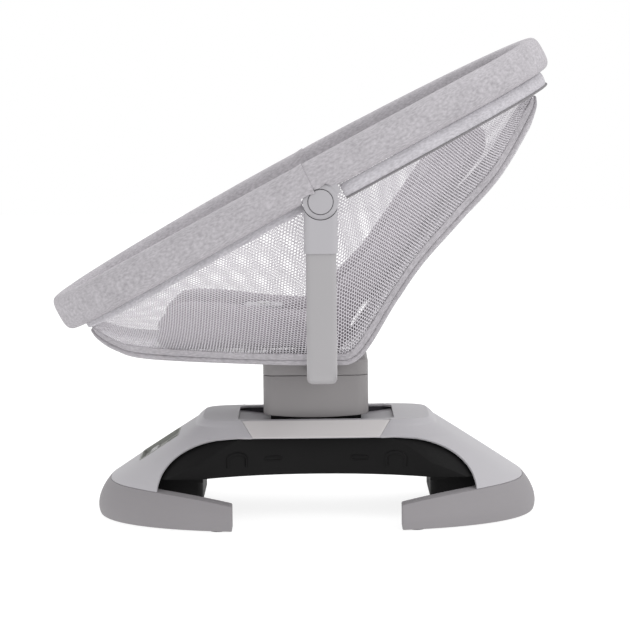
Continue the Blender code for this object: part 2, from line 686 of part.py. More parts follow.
def control_panel(frame_empty, plastic, glass, key_plastic):
    frame = panel_frame()
    length, width = PANEL_LENGTH - 2 * TOUCH, PANEL_WIDTH - 2 * TOUCH
    panel = rounded_box("control_panel", length, width, -PANEL_DEPTH + CUT_MARGIN, 0, PANEL_CORNER - TOUCH)
    length, width = length - 2 * PANEL_RIM, width - 2 * PANEL_RIM
    recess = rounded_box("cutter", length, width, -PANEL_SINK, CUT_MARGIN, 0.005)
    low = -PANEL_SINK - LENS_THICKNESS
    window = rounded_box("cutter", LENS_LENGTH, LENS_WIDTH, low, 0, LENS_CORNER, (-LENS_ROW, 0.0))
    keys = [(-KEY_ROW, (i - 1) * KEY_PITCH) for i in range(3)]
    bore = KEY_RADIUS + SLIP
    holes = [cylinder("cutter", bore, -2 * PANEL_DEPTH, CUT_MARGIN, "Z", key, 32) for key in keys]
    cut(panel, recess, window, *holes)
    panel.data.transform(frame)
    finish(panel, frame_empty, plastic)

    lens = rounded_box("display_lens", LENS_LENGTH - 2 * TOUCH, LENS_WIDTH - 2 * TOUCH,
                       low + TOUCH, -PANEL_SINK + TOUCH, LENS_CORNER - TOUCH, (-LENS_ROW, 0.0))
    lens.data.transform(frame)
    finish(lens, frame_empty, glass)

    for name, key in zip(("key_speed", "key_power", "key_sound"), keys):
        top = -PANEL_SINK + KEY_PROUD
        button = cylinder(name, KEY_RADIUS, top - KEY_HEIGHT, top, "Z", key)
        bevel(button, 0.0006, 1, 60)
        button.data.transform(frame)
        axis = empty(f"{name}_axis", frame @ Vector((*key, 0.0)), frame_empty)
        finish(button, axis, key_plastic)


# ================================================================ swing drive
def swing_arc(radius, half_chord, steps=24):
    """Points on a circle round the swing axis, from -X to +X."""
    turn = math.asin(half_chord / radius)
    return arc((0.0, SWING_AXIS_HEIGHT), radius, -math.pi / 2 - turn, -math.pi / 2 + turn, steps)


def on_arc(radius, x):
    return SWING_AXIS_HEIGHT - math.sqrt(radius**2 - x**2)


def swing_deck(frame_empty, plastic):
    half = SLOT_LENGTH / 2 + DECK_LAP
    top = swing_arc(DECK_RADIUS, half)
    bottom = swing_arc(DECK_RADIUS + DECK_WALL, half)
    width = SLOT_WIDTH + DECK_LAP
    deck = prism("swing_deck", [*top, *reversed(bottom)], -width / 2, width / 2)
    opening = NECK_WIDTH / 2 + SWING_TRAVEL + NECK_END_ROOM
    side = NECK_WIDTH / 2 + NECK_SIDE_ROOM
    cut(deck, box("cutter", (-opening, -side, 0), (opening, side, TOP_HEIGHT)))
    finish(deck, frame_empty, plastic)


def rails(frame_empty, steel):
    """Curved running rails on the tray's floor, with a stop at each end."""
    half = WHEELBASE / 2 + SWING_TRAVEL + ROLLER_RADIUS + 0.010
    stop = half - 0.006
    floor = TRAY_FLOOR + TRAY_WALL + TOUCH
    for side, sign in SIDES:
        track = swing_arc(RAIL_RADIUS, stop)
        left = [(-half, on_arc(RAIL_RADIUS, half) + RAIL_STOP), (-stop, track[0][1] + RAIL_STOP)]
        right = [(stop, track[-1][1] + RAIL_STOP), (half, left[0][1])]
        outline = [(-half, floor), *left, *track, *right, (half, floor)]
        middle = sign * RAIL_PLACE
        rail = prism(f"rail_{side}", outline, middle - RAIL_WIDTH / 2, middle + RAIL_WIDTH / 2)
        finish(rail, frame_empty, steel)


def drive_coil(frame_empty, copper):
    floor = TRAY_FLOOR + TRAY_WALL + TOUCH
    coil = cylinder("drive_coil", COIL_RADIUS, floor, floor + COIL_HEIGHT, sides=24)
    bevel(coil, 0.003, 1, 60)
    cut(coil, cylinder("cutter", COIL_BORE, floor - CUT_MARGIN, floor + COIL_HEIGHT + CUT_MARGIN, sides=24))
    finish(coil, frame_empty, copper)


def main_board(frame_empty, board_green):
    low = TRAY_FLOOR + TRAY_WALL + BOSS_HEIGHT + TOUCH
    high = low + BOARD_THICKNESS
    root = high - BOARD_THICKNESS / 2
    board = rounded_box("main_board", BOARD_LENGTH, BOARD_WIDTH, low, high, 0.003, (BOARD_PLACE, 0.0))
    chip = box("chip", (BOARD_PLACE - 0.008, -0.008, root), (BOARD_PLACE + 0.008, 0.008, high + 0.002))
    block = box("block", (BOARD_PLACE + 0.012, -0.026, root), (BOARD_PLACE + 0.024, -0.012, high + 0.010))
    cap = cylinder("cap", 0.005, root, high + 0.014, "Z", (BOARD_PLACE - 0.018, 0.022), 20)
    join(board, chip, block, cap)
    finish(board, frame_empty, board_green)


def roller_centre():
    return WHEELBASE / 2, on_arc(RAIL_RADIUS - ROLLER_RADIUS, WHEELBASE / 2)


def wheelsets(swing_empty, wheel_plastic):
    x, z = roller_centre()
    end_of_axle = RAIL_PLACE + ROLLER_WIDTH / 2 + 0.001
    for end, sign in ENDS:
        axis = empty(f"wheel_axis_{end}", Vector((sign * x, 0, z)), swing_empty)
        centre = (sign * x, z)
        wheelset = cylinder(f"wheelset_{end}", AXLE_RADIUS, -end_of_axle, end_of_axle, "Y", centre, 12)
        rollers = []
        for side in (-1, 1):
            low, high = side * RAIL_PLACE - ROLLER_WIDTH / 2, side * RAIL_PLACE + ROLLER_WIDTH / 2
            rollers.append(cylinder("roller", ROLLER_RADIUS - TOUCH, low, high, "Y", centre))
        join(wheelset, *rollers)
        finish(wheelset, axis, wheel_plastic)


def carriage(swing_empty, black, steel):
    """The frame that rolls on the rails, with a neck up through the deck and the column's black boot."""
    x, axle_height = roller_centre()
    top = axle_height + 0.009
    cheek_out = RAIL_PLACE - ROLLER_WIDTH / 2 - 0.0015
    cheek_in = cheek_out - CARRIAGE_WALL
    plate_half = WHEELBASE / 2 - ROLLER_RADIUS + 0.002
    body = box("carriage", (-plate_half, -cheek_out, top - CARRIAGE_WALL), (plate_half, cheek_out, top))
    pieces = []
    for sign in (-1, 1):
        low, high = sorted((sign * cheek_in, sign * cheek_out))
        half = x + ROLLER_RADIUS
        pieces.append(box("cheek", (-half, low, top - CARRIAGE_CHEEK + 0.008), (half, high, top)))
    neck = NECK_WIDTH / 2
    pieces.append(box("neck", (-neck, -neck, top - CARRIAGE_WALL / 2), (neck, neck, TOP_HEIGHT)))
    boot_base = swing_arc(DECK_RADIUS - BOOT_GAP, BOOT_LENGTH / 2, 12)
    boot_top = COLUMN_TOP - 0.044
    outline = [*boot_base, (BOOT_LENGTH / 2, boot_top), (-BOOT_LENGTH / 2, boot_top)]
    pieces.append(prism("boot", outline, -BOOT_WIDTH / 2, BOOT_WIDTH / 2))
    join(body, *pieces)
    well = box("cutter", (-BOOT_LENGTH / 2 + 0.006, -BOOT_WIDTH / 2 + 0.006, boot_top - 0.012),
               (BOOT_LENGTH / 2 - 0.006, BOOT_WIDTH / 2 - 0.006, boot_top + CUT_MARGIN))
    holes = [cylinder("cutter", AXLE_RADIUS + SLIP, -cheek_out - CUT_MARGIN, cheek_out + CUT_MARGIN, "Y",
                      (sign * x, axle_height), 24) for sign in (-1, 1)]
    cut(body, well, *holes)
    finish(body, swing_empty, black)

    magnet_top = top - CARRIAGE_WALL - TOUCH
    magnet = box("drive_magnet", (-MAGNET_LENGTH / 2, -MAGNET_WIDTH / 2, magnet_top - MAGNET_HEIGHT),
                 (MAGNET_LENGTH / 2, MAGNET_WIDTH / 2, magnet_top))
    finish(magnet, swing_empty, steel)


def column(swing_empty, plastic, bush_plastic):
    bottom = swing_arc(COLUMN_RADIUS, COLUMN_LENGTH / 2, 16)
    outline = [*bottom, (COLUMN_LENGTH / 2, COLUMN_TOP), (-COLUMN_LENGTH / 2, COLUMN_TOP)]
    shell = prism("column_shell", outline, -COLUMN_WIDTH / 2, COLUMN_WIDTH / 2)
    sky = COLUMN_TOP + CUT_MARGIN
    keep_inside(shell, rounded_box("keep", COLUMN_LENGTH, COLUMN_WIDTH, 0, sky, COLUMN_CORNER))
    inside = 2 * COLUMN_WALL
    hollow = rounded_box("cutter", COLUMN_LENGTH - inside, COLUMN_WIDTH - inside, 0, COLUMN_TOP - COLUMN_WALL,
                         COLUMN_CORNER - COLUMN_WALL)
    cut(shell, hollow, cylinder("cutter", SPINDLE_RADIUS + SLIP, 0, sky))
    finish(shell, swing_empty, plastic)

    high = COLUMN_TOP - COLUMN_WALL - TOUCH
    bush = cylinder("turn_bush", SPINDLE_RADIUS + SLIP + BUSH_WALL, high - BUSH_HEIGHT, high)
    cut(bush, cylinder("cutter", SPINDLE_RADIUS + SLIP, 0, COLUMN_TOP))
    finish(bush, swing_empty, bush_plastic)


# ================================================================ turning yoke
def turret_span():
    low = COLUMN_TOP + TURRET_SEAM
    return low, low + TURRET_HEIGHT


def spindle(turn_empty, steel):
    low = COLUMN_TOP - SPINDLE_DROP
    flange = COLUMN_TOP + 0.0004
    post = cylinder("turn_spindle", SPINDLE_RADIUS, low, flange + FLANGE_THICKNESS / 2)
    lip = cylinder("lip", SPINDLE_RADIUS + SPINDLE_LIP, low, low + SPINDLE_LIP)
    plate = cylinder("plate", SPINDLE_FLANGE, flange, flange + FLANGE_THICKNESS)
    join(post, lip, plate)
    cut(post, cylinder("cutter", SPINDLE_RADIUS - 0.004, low - CUT_MARGIN, flange + 2 * FLANGE_THICKNESS))
    finish(post, turn_empty, steel)


def turret(turn_empty, plastic):
    low, high = turret_span()
    cap = rounded_box("turret_cap", COLUMN_LENGTH, COLUMN_WIDTH, low, high, COLUMN_CORNER)
    bevel(cap, 0.005, 3, 60)
    base = box("cutter", (-COLUMN_LENGTH, -COLUMN_WIDTH, 0), (COLUMN_LENGTH, COLUMN_WIDTH, low + 0.006))
    skirt = rounded_box("skirt", COLUMN_LENGTH, COLUMN_WIDTH, low, low + 0.008, COLUMN_CORNER)
    join(cut(cap, base), skirt)
    inside = 2 * COLUMN_WALL
    hollow = rounded_box("cutter", COLUMN_LENGTH - inside, COLUMN_WIDTH - inside,
                         low - CUT_MARGIN, high - COLUMN_WALL, COLUMN_CORNER - COLUMN_WALL)
    gate = rounded_rectangle(YOKE_WIDTH + 2 * SLIP, CROSSBAR_DEPTH + 2 * SLIP, CROSSBAR_DEPTH * 0.35,
                             centre=(YOKE_X, CROSSBAR_HEIGHT))
    cut(cap, hollow, prism("cutter", gate, -COLUMN_WIDTH, COLUMN_WIDTH))
    finish(cap, turn_empty, plastic)


def yoke_path():
    """Points (Y, Z), direction of travel and depth of the bar, from the near arm's top to the far arm's."""
    half = YOKE_SPREAD / 2
    arm_top = SLEEVE_FOOT + ARM_OVERLAP
    bar = CROSSBAR_HEIGHT + CROSSBAR_RISE
    down, full = -math.pi / 2, bar + ARM_STRAIGHT * YOKE_BEND
    path = [(-half, arm_top, down, YOKE_DEPTH), (-half, full, down, YOKE_DEPTH)]
    bend = arc((-half + YOKE_BEND, bar + YOKE_BEND), YOKE_BEND, math.pi, math.pi * 1.5, 6)
    for i, (y, z) in enumerate(bend):
        path.append((y, z, down * (1 - i / 6), YOKE_DEPTH + (CROSSBAR_DEPTH - YOKE_DEPTH) * i / 6))
    path.append((-COLUMN_WIDTH / 2 - CROSSBAR_STEP, CROSSBAR_HEIGHT, 0.0, CROSSBAR_DEPTH))
    return path + [(-y, z, -heading, depth) for y, z, heading, depth in reversed(path)]


def yoke_rings(wall):
    rings = []
    for y, z, heading, depth in yoke_path():
        side = (-math.sin(heading), math.cos(heading))
        corner = min(YOKE_CORNER, 0.45 * CROSSBAR_DEPTH) - wall
        section = rounded_rectangle(YOKE_WIDTH - 2 * wall, depth - 2 * wall, corner, 2)
        rings.append([(YOKE_X + a, y + b * side[0], z + b * side[1]) for a, b in section])
    return rings


def yoke(turn_empty, painted):
    finish(pipe("yoke_tube", yoke_rings(0.0), yoke_rings(YOKE_WALL)), turn_empty, painted)


def yoke_sleeves(turn_empty, plastic):
    """Sleeves on the arms' tops. Each ends in a hollow for the seat's hub and in a pierced ear behind it."""
    half = YOKE_SPREAD / 2
    shoulder = HUB_HEIGHT - math.sqrt((HUB_RADIUS + SLIP + 0.0003) ** 2 - (SLEEVE_WIDTH / 2) ** 2)
    hub = (YOKE_X, HUB_HEIGHT)
    ear_out = HUB_INNER - SLIP
    ear_in = ear_out - EAR_THICKNESS
    sleeve = rounded_box("yoke_sleeve_near", SLEEVE_WIDTH, SLEEVE_DEPTH, SLEEVE_FOOT, shoulder, SLEEVE_CORNER,
                         (YOKE_X, -half))
    cut(sleeve, cylinder("cutter", HUB_RADIUS + SLIP, -half - SLEEVE_DEPTH, -ear_out, "Y", hub))
    join(sleeve, cylinder("ear", EAR_RADIUS, -ear_out, -ear_in, "Y", hub))
    mouth = rounded_box("cutter", YOKE_WIDTH + 2 * TOUCH, YOKE_DEPTH + 2 * TOUCH, SLEEVE_FOOT - CUT_MARGIN,
                        SLEEVE_FOOT + ARM_OVERLAP + TOUCH, YOKE_CORNER * 0.9, (YOKE_X, -half))
    cut(sleeve, cylinder("cutter", PIN_RADIUS + SLIP, -half - SLEEVE_DEPTH, 0, "Y", hub, 24), mouth)
    far = copy_of(sleeve, "yoke_sleeve_far", mirror_y=True)
    for obj in (sleeve, far):
        finish(obj, turn_empty, plastic)


# ================================================================ seat
def seat_point(along, y, up):
    return HUB + SEAT_ALONG * along + SEAT_UP * up + Vector((0, y, 0))


def ring_height(along):
    share = (along - RING_SHIFT) / (RING_LENGTH / 2)
    return RING_RISE + RING_ARCH * (1 - share**2)


def ring_frame(turn, inset=0.0):
    """Along, across and outward direction of the ring at an angle: 0 is the foot tip, pi the head tip."""
    half_length, half_width = RING_LENGTH / 2 - inset, RING_WIDTH / 2 - inset
    c, s = math.cos(turn), math.sin(turn)
    bend = 2 / RING_POWER
    along = RING_SHIFT - math.copysign(abs(c) ** bend, c) * half_length
    across = -math.copysign(abs(s) ** bend, s) * half_width
    lean, square = (math.copysign(abs(a) ** (2 - bend), a) for a in (c, s))
    return along, across, Vector((-lean / half_length, -square / half_width)).normalized()


def turn_at(along):
    """The ring angle where it passes a place along the seat, on the near side."""
    share = (RING_SHIFT - along) / (RING_LENGTH / 2)
    return math.acos(math.copysign(abs(share) ** (RING_POWER / 2), share))


def stations_between(start, end):
    """The ring's own stations between two angles, with the two ends, so that nested pieces share facets."""
    step = math.pi / RING_STATIONS
    low, high = sorted((start, end))
    inner = [i * step for i in range(math.ceil(low / step), math.floor(high / step) + 1)]
    hub = turn_at(0.0)  # the tubes meet here
    inner = sorted([*inner, -hub, hub, math.tau - hub])
    inner = [turn for turn in inner if low + step / 8 < turn < high - step / 8]
    turns = [low, *inner, high]
    return turns if start <= end else list(reversed(turns))


def swept_ring(turns, section, inset=0.0, drop=0.0):
    """A section of (outwards, up) points carried along the ring."""
    rings = []
    for turn in turns:
        along, across, out = ring_frame(turn, inset)
        level = ring_height(along) - drop
        rings.append([seat_point(along + out.x * a, across + out.y * a, level + b) for a, b in section])
    return rings


def circle_section(radius, sides):
    return arc((0.0, 0.0), radius, 0, math.tau, sides)[:-1]


def half_ring_turns(end, along):
    """Angles from the near side at a place along the seat, round one tip, to the far side."""
    near = turn_at(along)
    return stations_between(near, -near if end == "foot" else math.tau - near)


def ring_tubes(seat_empty, steel):
    for end, sign in (("foot", -1), ("head", 1)):
        turns = half_ring_turns(end, sign * TOUCH)
        outer = swept_ring(turns, circle_section(TUBE_RADIUS, TUBE_SIDES))
        inner = swept_ring(turns, circle_section(TUBE_RADIUS - TUBE_WALL, TUBE_SIDES))
        finish(pipe(f"ring_tube_{end}", outer, inner), seat_empty, steel)


def seat_block(name, along, y, up):
    """A box in the seat's tilted frame, from three (low, high) pairs."""
    corners = ((along[0], up[0]), (along[1], up[0]), (along[1], up[1]), (along[0], up[1]))
    return loft(name, [[seat_point(a, level, b) for a, b in corners] for level in y])


def ring_bar(name, radius, half_length, sides=24):
    """A round bar that follows the ring past the near hub."""
    turns = stations_between(turn_at(-half_length), turn_at(half_length))
    return loft(name, swept_ring(turns, circle_section(radius, sides)))


def hub_shape(name, grow=0.0):
    """The near hub bracket's form without its holes, or the same form grown for a pocket round it."""
    hub = (YOKE_X, HUB_HEIGHT)
    level = ring_height(0.0)
    disc = cylinder(name, HUB_RADIUS + grow, -HUB_OUTER - grow, -HUB_INNER + grow, "Y", hub)
    out, back = -HUB_OUTER + TAB_INSET - grow, -HUB_INNER + grow
    tab = seat_block("tab", (-grow, TAB_LENGTH + grow), (out, back), (-0.001 - grow, level - 0.004))
    reach = TAB_LENGTH + grow
    riser = seat_block("riser", (-RISER_LAP - grow, reach), (out, back - TOUCH), (RISER_LAP, level))
    socket = ring_bar("socket", SOCKET_RADIUS + grow, SOCKET_LENGTH / 2 + grow)
    return join(disc, tab, riser, socket)


def hubs(seat_empty, plastic, steel):
    hub = (YOKE_X, HUB_HEIGHT)
    bracket = hub_shape("hub_bracket_near")
    face = HUB_OUTER - BUTTON_THICKNESS + BUTTON_PROUD - BUTTON_TRAVEL - SLIP
    hole = cylinder("cutter", BUTTON_RADIUS + TOUCH, -HUB_OUTER - CUT_MARGIN, -face, "Y", hub)
    bore = ring_bar("cutter", TUBE_RADIUS + 1.2 * TOUCH, SOCKET_LENGTH, TUBE_SIDES)
    cut(bracket, hole, bore)
    for obj in (bracket, copy_of(bracket, "hub_bracket_far", mirror_y=True)):
        finish(obj, seat_empty, plastic)

    pin_out = HUB_INNER - TOUCH
    pin = cylinder("hub_pin_near", PIN_RADIUS, -pin_out, -pin_out + EAR_THICKNESS + 0.003, "Y", hub, 24)
    for obj in (pin, copy_of(pin, "hub_pin_far", mirror_y=True)):
        finish(obj, seat_empty, steel)

    button_out = HUB_OUTER + BUTTON_PROUD
    for side, sign in SIDES:
        low, high = sorted((sign * button_out, sign * (button_out - BUTTON_THICKNESS)))
        button = bevel(cylinder(f"recline_button_{side}", BUTTON_RADIUS, low, high, "Y", hub), 0.0008, 1, 60)
        axis = empty(f"recline_button_axis_{side}", HUB + Vector((0, sign * button_out, 0)), seat_empty)
        finish(button, axis, plastic)


def rim_section(sides=TUBE_SIDES):
    points = []
    for i in range(sides):
        turn = math.tau * i / sides
        c, s = math.cos(turn), math.sin(turn)
        out, up = math.copysign(abs(c) ** 0.9, c), math.copysign(abs(s) ** 0.85, s)
        points.append((out * RIM_DEPTH / 2, up * RIM_HEIGHT / 2))
    return points


def rim_pocket(sign):
    """Room for one hub, its bracket and the head of the yoke, inside the padded rim."""
    hub = (YOKE_X, HUB_HEIGHT)
    room = cylinder("round", POCKET_RADIUS, -POCKET_FACE, -RING_WIDTH / 2 + RIM_DEPTH, "Y", hub)
    pocket = join(hub_shape("cutter", SLIP), room)
    if sign > 0:
        mirrored = copy_of(pocket, "cutter", mirror_y=True)
        bpy.data.objects.remove(pocket, do_unlink=True)
        return mirrored
    return pocket


def padded_rim(seat_empty, cloth):
    bore = circle_section(TUBE_RADIUS + 1.2 * TOUCH, TUBE_SIDES)
    for end, sign in (("foot", -1), ("head", 1)):
        turns = half_ring_turns(end, RIM_SEAM + sign * RIM_SEAM_GAP / 2)
        rim = pipe(f"rim_sleeve_{end}", swept_ring(turns, rim_section()), swept_ring(turns, bore))
        cut(rim, rim_pocket(-1), rim_pocket(1))
        finish(rim, seat_empty, cloth, 60)


def head_band(seat_empty, cloth):
    """The narrow cloth band under the head half of the rim."""
    turns = half_ring_turns("head", BAND_START)
    top = -RIM_HEIGHT / 2 - 0.0008
    section = ((0.0, top), (0.0, top - BAND_DEPTH), (-BAND_CLOTH, top - BAND_DEPTH), (-BAND_CLOTH, top))
    finish(loft("head_band", swept_ring(turns, section, BAND_INSET)), seat_empty, cloth, 60)


def hoop_points(steps=5):
    near = [(x, -y, z) for x, y, z in HOOP_ROUTE]
    return smooth_route(near, steps)


def lower_hoop(seat_empty, steel):
    """The closed wire hoop along the bottom and back of the seat."""
    near = hoop_points(2)
    loop = near + [Vector((p.x, -p.y, p.z)) for p in reversed(near[1:-1])]
    rings = []
    for i, point in enumerate(loop):
        ahead = (loop[(i + 1) % len(loop)] - loop[i - 1]).normalized()
        side = ahead.cross(Vector((0, 0.2, 1)) if abs(ahead.y) < 0.9 else Vector((0.4, 0, 1))).normalized()
        up = side.cross(ahead)
        rings.append([point + side * a + up * b for a, b in circle_section(HOOP_RADIUS, 6)])
    finish(loft("lower_hoop", rings, closed=True), seat_empty, steel, 60)


def sheet(name, rows, thickness):
    """A thin solid from a grid of points, half its thickness each side of them."""
    bm = bmesh.new()
    grid = [[bm.verts.new(point) for point in row] for row in rows]
    for low, high in zip(grid, grid[1:]):
        for i in range(len(low) - 1):
            bm.faces.new((low[i], low[i + 1], high[i + 1], high[i]))
    bm.normal_update()
    made = to_object(name, bm)
    modifier = made.modifiers.new("cloth", "SOLIDIFY")
    modifier.thickness = thickness
    modifier.offset = 0.0
    modifier.use_even_offset = True
    apply_modifiers(made)
    return made


def side_meshes(seat_empty, mesh_cloth):
    """The see-through sides, from under the rim to the lower hoop."""
    hoop = hoop_points(2)
    lengths = [0.0]
    for a, b in zip(hoop, hoop[1:]):
        lengths.append(lengths[-1] + (b - a).length)
    rows = []
    for before, point, after, length in zip(hoop[1:], hoop[2:], hoop[3:-1], lengths[2:]):
        share = length / lengths[-1]
        turn = math.pi * (0.04 + 0.92 * share)
        along, across, _ = ring_frame(turn, MESH_INSET)
        top = seat_point(along, across, ring_height(along) - RIM_HEIGHT / 2 - 0.0012)
        ahead = (after - before).normalized()
        down = (point - top).normalized()
        square = (down - ahead * down.dot(ahead)).normalized()
        bottom = point - square * (HOOP_RADIUS + HEM_GAP)
        rows.append([top.lerp(bottom, i / 4) for i in range(5)])
    near = sheet("side_mesh_near", rows, MESH_CLOTH)
    for obj in (near, copy_of(near, "side_mesh_far", mirror_y=True)):
        finish(obj, seat_empty, mesh_cloth, 60)


def seat_sling(seat_empty, cloth):
    """The cloth between the two long sides of the hoop: level under the seat, bowed out behind the back."""
    hoop = hoop_points(2)
    rows = []
    for i in range(3, len(hoop) - 3):
        ahead = hoop[i + 1] - hoop[i - 1]
        inward = Vector((-ahead.z, 0, ahead.x)).normalized()
        rise = max(0.0, min(1.0, (hoop[i].z - 0.22) / 0.06)) * max(0.0, min(1.0, (0.56 - hoop[i].z) / 0.06))
        lean = max(0.4, math.hypot(ahead.x, ahead.z) / ahead.length)
        half = abs(hoop[i].y) - (HOOP_RADIUS + HEM_GAP) / lean
        row = []
        for j in range(7):
            share = -1 + j / 3
            bow = SLING_RISE - BACK_BULGE * rise * (1 - share**2)
            edge = 1 - max(0.0, abs(share) - 0.75) * 2
            middle = Vector((hoop[i].x, share * half, hoop[i].z))
            row.append(middle + inward * bow * edge)
        rows.append(row)
    finish(sheet("seat_sling", rows, SLING_CLOTH), seat_empty, cloth, 60)


# ================================================================ insert and harness
def back_frame():
    """Start, direction up the back and direction into the seat, of the back pad's rear face."""
    start = Vector((BACK_FOOT[0], 0, BACK_FOOT[1]))
    up = Vector((math.cos(BACK_ANGLE), 0, math.sin(BACK_ANGLE)))
    return start, up, Vector((-up.z, 0, up.x))


def pad_outline(origin, along, inward, length, depth, rear=0.0):
    corners = ((0, rear), (length, rear), (length, depth), (0, depth))
    return [(origin + along * a + inward * b) for a, b in corners]


def crowned(name, outline, half_width, edge):
    """A pad: an outline in XZ, pushed across the seat, with rounded edges."""
    pad = prism(name, [(p.x, p.z) for p in outline], -half_width, half_width)
    return bevel(pad, edge, 3)


def insert_pads(seat_empty, cloth):
    floor = HOOP_ROUTE[5][2] + SLING_RISE + PAD_LIFT
    front = Vector((SEAT_PAD_FRONT, 0, floor))
    level = pad_outline(front, Vector((1, 0, 0)), Vector((0, 0, 1)), SEAT_PAD_BACK - SEAT_PAD_FRONT, PAD_LOFT)
    seat_pad = crowned("insert_seat", level, PAD_WIDTH / 2, PAD_EDGE)
    start, up, inward = back_frame()
    leaning = pad_outline(start, up, inward, BACK_PAD_LENGTH, BACK_PAD_REAR + PAD_LOFT, BACK_PAD_REAR)
    back_pad = crowned("insert_back", leaning, PAD_WIDTH / 2, PAD_EDGE)
    top = start + up * (BACK_PAD_LENGTH - HEAD_PAD_LENGTH - 0.010)
    top += inward * (BACK_PAD_REAR + PAD_LOFT + 0.001)
    resting = pad_outline(top, up, inward, HEAD_PAD_LENGTH, HEAD_PAD_LOFT)
    head_pad = crowned("head_pillow", resting, 0.42 * PAD_WIDTH, 0.008)
    for obj in (seat_pad, back_pad, head_pad):
        finish(obj, seat_empty, cloth, 60)


def bolsters(seat_empty, cloth):
    """The raised sides of the insert: along the seat, round the corner and up the back."""
    floor = HOOP_ROUTE[5][2] + SLING_RISE + PAD_LIFT
    start, up, inward = back_frame()
    heel = start + inward * BACK_PAD_REAR
    face = start + inward * BACK_BOLSTER_DEPTH
    crown = up * BACK_PAD_LENGTH
    elbow = face + up * BOLSTER_ELBOW
    outline = [
        (SEAT_PAD_FRONT + 0.020, floor), (SEAT_PAD_BACK, floor),
        *((point.x, point.z) for point in (heel, heel + crown, face + crown, elbow)),
        (SEAT_PAD_BACK - 0.045, SEAT_BOLSTER_TOP), (SEAT_PAD_FRONT + 0.035, SEAT_BOLSTER_TOP),
        (SEAT_PAD_FRONT + 0.006, floor + 0.030),
    ]
    inner = PAD_WIDTH / 2 + BOLSTER_GAP
    near = bevel(prism("bolster_near", outline, -inner - BOLSTER_WIDTH, -inner), 0.007, 2)
    for obj in (near, copy_of(near, "bolster_far", mirror_y=True)):
        finish(obj, seat_empty, cloth, 60)


def harness(seat_empty, webbing, plastic, key_plastic):
    floor = HOOP_ROUTE[5][2] + SLING_RISE + PAD_LIFT + PAD_LOFT + 0.0008
    length, width, depth = BUCKLE_LENGTH, BUCKLE_WIDTH, BUCKLE_THICKNESS
    low = BUCKLE_HEIGHT - depth / 2
    buckle = rounded_box("buckle", length, width, low, low + depth, 0.008, (BUCKLE_X, 0.0))
    bevel(buckle, 0.002, 2, 60)
    key_low = low + depth - 0.004
    well_low, well_high = key_low - BUCKLE_TRAVEL - SLIP, low + depth + CUT_MARGIN
    cut(buckle, cylinder("cutter", BUCKLE_KEY + SLIP, well_low, well_high, "Z", (BUCKLE_X, 0.0), 32))
    finish(buckle, seat_empty, plastic)
    key = cylinder("buckle_key", BUCKLE_KEY, key_low, low + depth + BUCKLE_PROUD, "Z", (BUCKLE_X, 0.0))
    bevel(key, 0.0008, 1, 60)
    axis = empty("buckle_key_axis", Vector((BUCKLE_X, 0, low + depth)), seat_empty)
    finish(key, axis, key_plastic)

    half = STRAP_WIDTH / 2
    front = BUCKLE_X - length / 2
    crotch = (
        (front - 0.058, floor), (front - 0.040, floor + 0.004),
        (front - 0.016, BUCKLE_HEIGHT - 0.006), (front - TOUCH, BUCKLE_HEIGHT),
    )
    upper = [(x, z + STRAP_THICKNESS) for x, z in reversed(crotch)]
    finish(prism("crotch_strap", [*crotch, *upper], -half, half), seat_empty, webbing)
    waist = (
        (width / 2 + TOUCH, BUCKLE_HEIGHT), (width / 2 + 0.018, BUCKLE_HEIGHT - 0.002),
        (PAD_WIDTH / 2 - 0.002, floor + 0.006),
    )
    for side, sign in SIDES:
        lower = [(sign * y, z) for y, z in waist]
        upper = [(sign * y, z + STRAP_THICKNESS) for y, z in reversed(waist)]
        strap = prism(f"waist_strap_{side}", lower + upper, BUCKLE_X - half, BUCKLE_X + half, "X")
        finish(strap, seat_empty, webbing)


# ================================================================ assembly
def centre_frame(frame_empty):
    """Shifts the frame so that the swing's box is centred on the origin in X and Y."""
    bpy.context.view_layer.update()
    low, high = [math.inf] * 2, [-math.inf] * 2
    for obj in bpy.data.objects:
        if obj.type != "MESH" or obj.hide_render:
            continue
        for vertex in obj.data.vertices:
            point = obj.matrix_world @ vertex.co
            for axis in (0, 1):
                low[axis] = min(low[axis], point[axis])
                high[axis] = max(high[axis], point[axis])
    frame_empty.location = (-(low[0] + high[0]) / 2, -(low[1] + high[1]) / 2, 0.0)
    bpy.context.view_layer.update()
    for obj in bpy.data.objects:
        if obj.type == "EMPTY":
            print("axis", obj.name, [round(value, 5) for value in obj.matrix_world.translation])


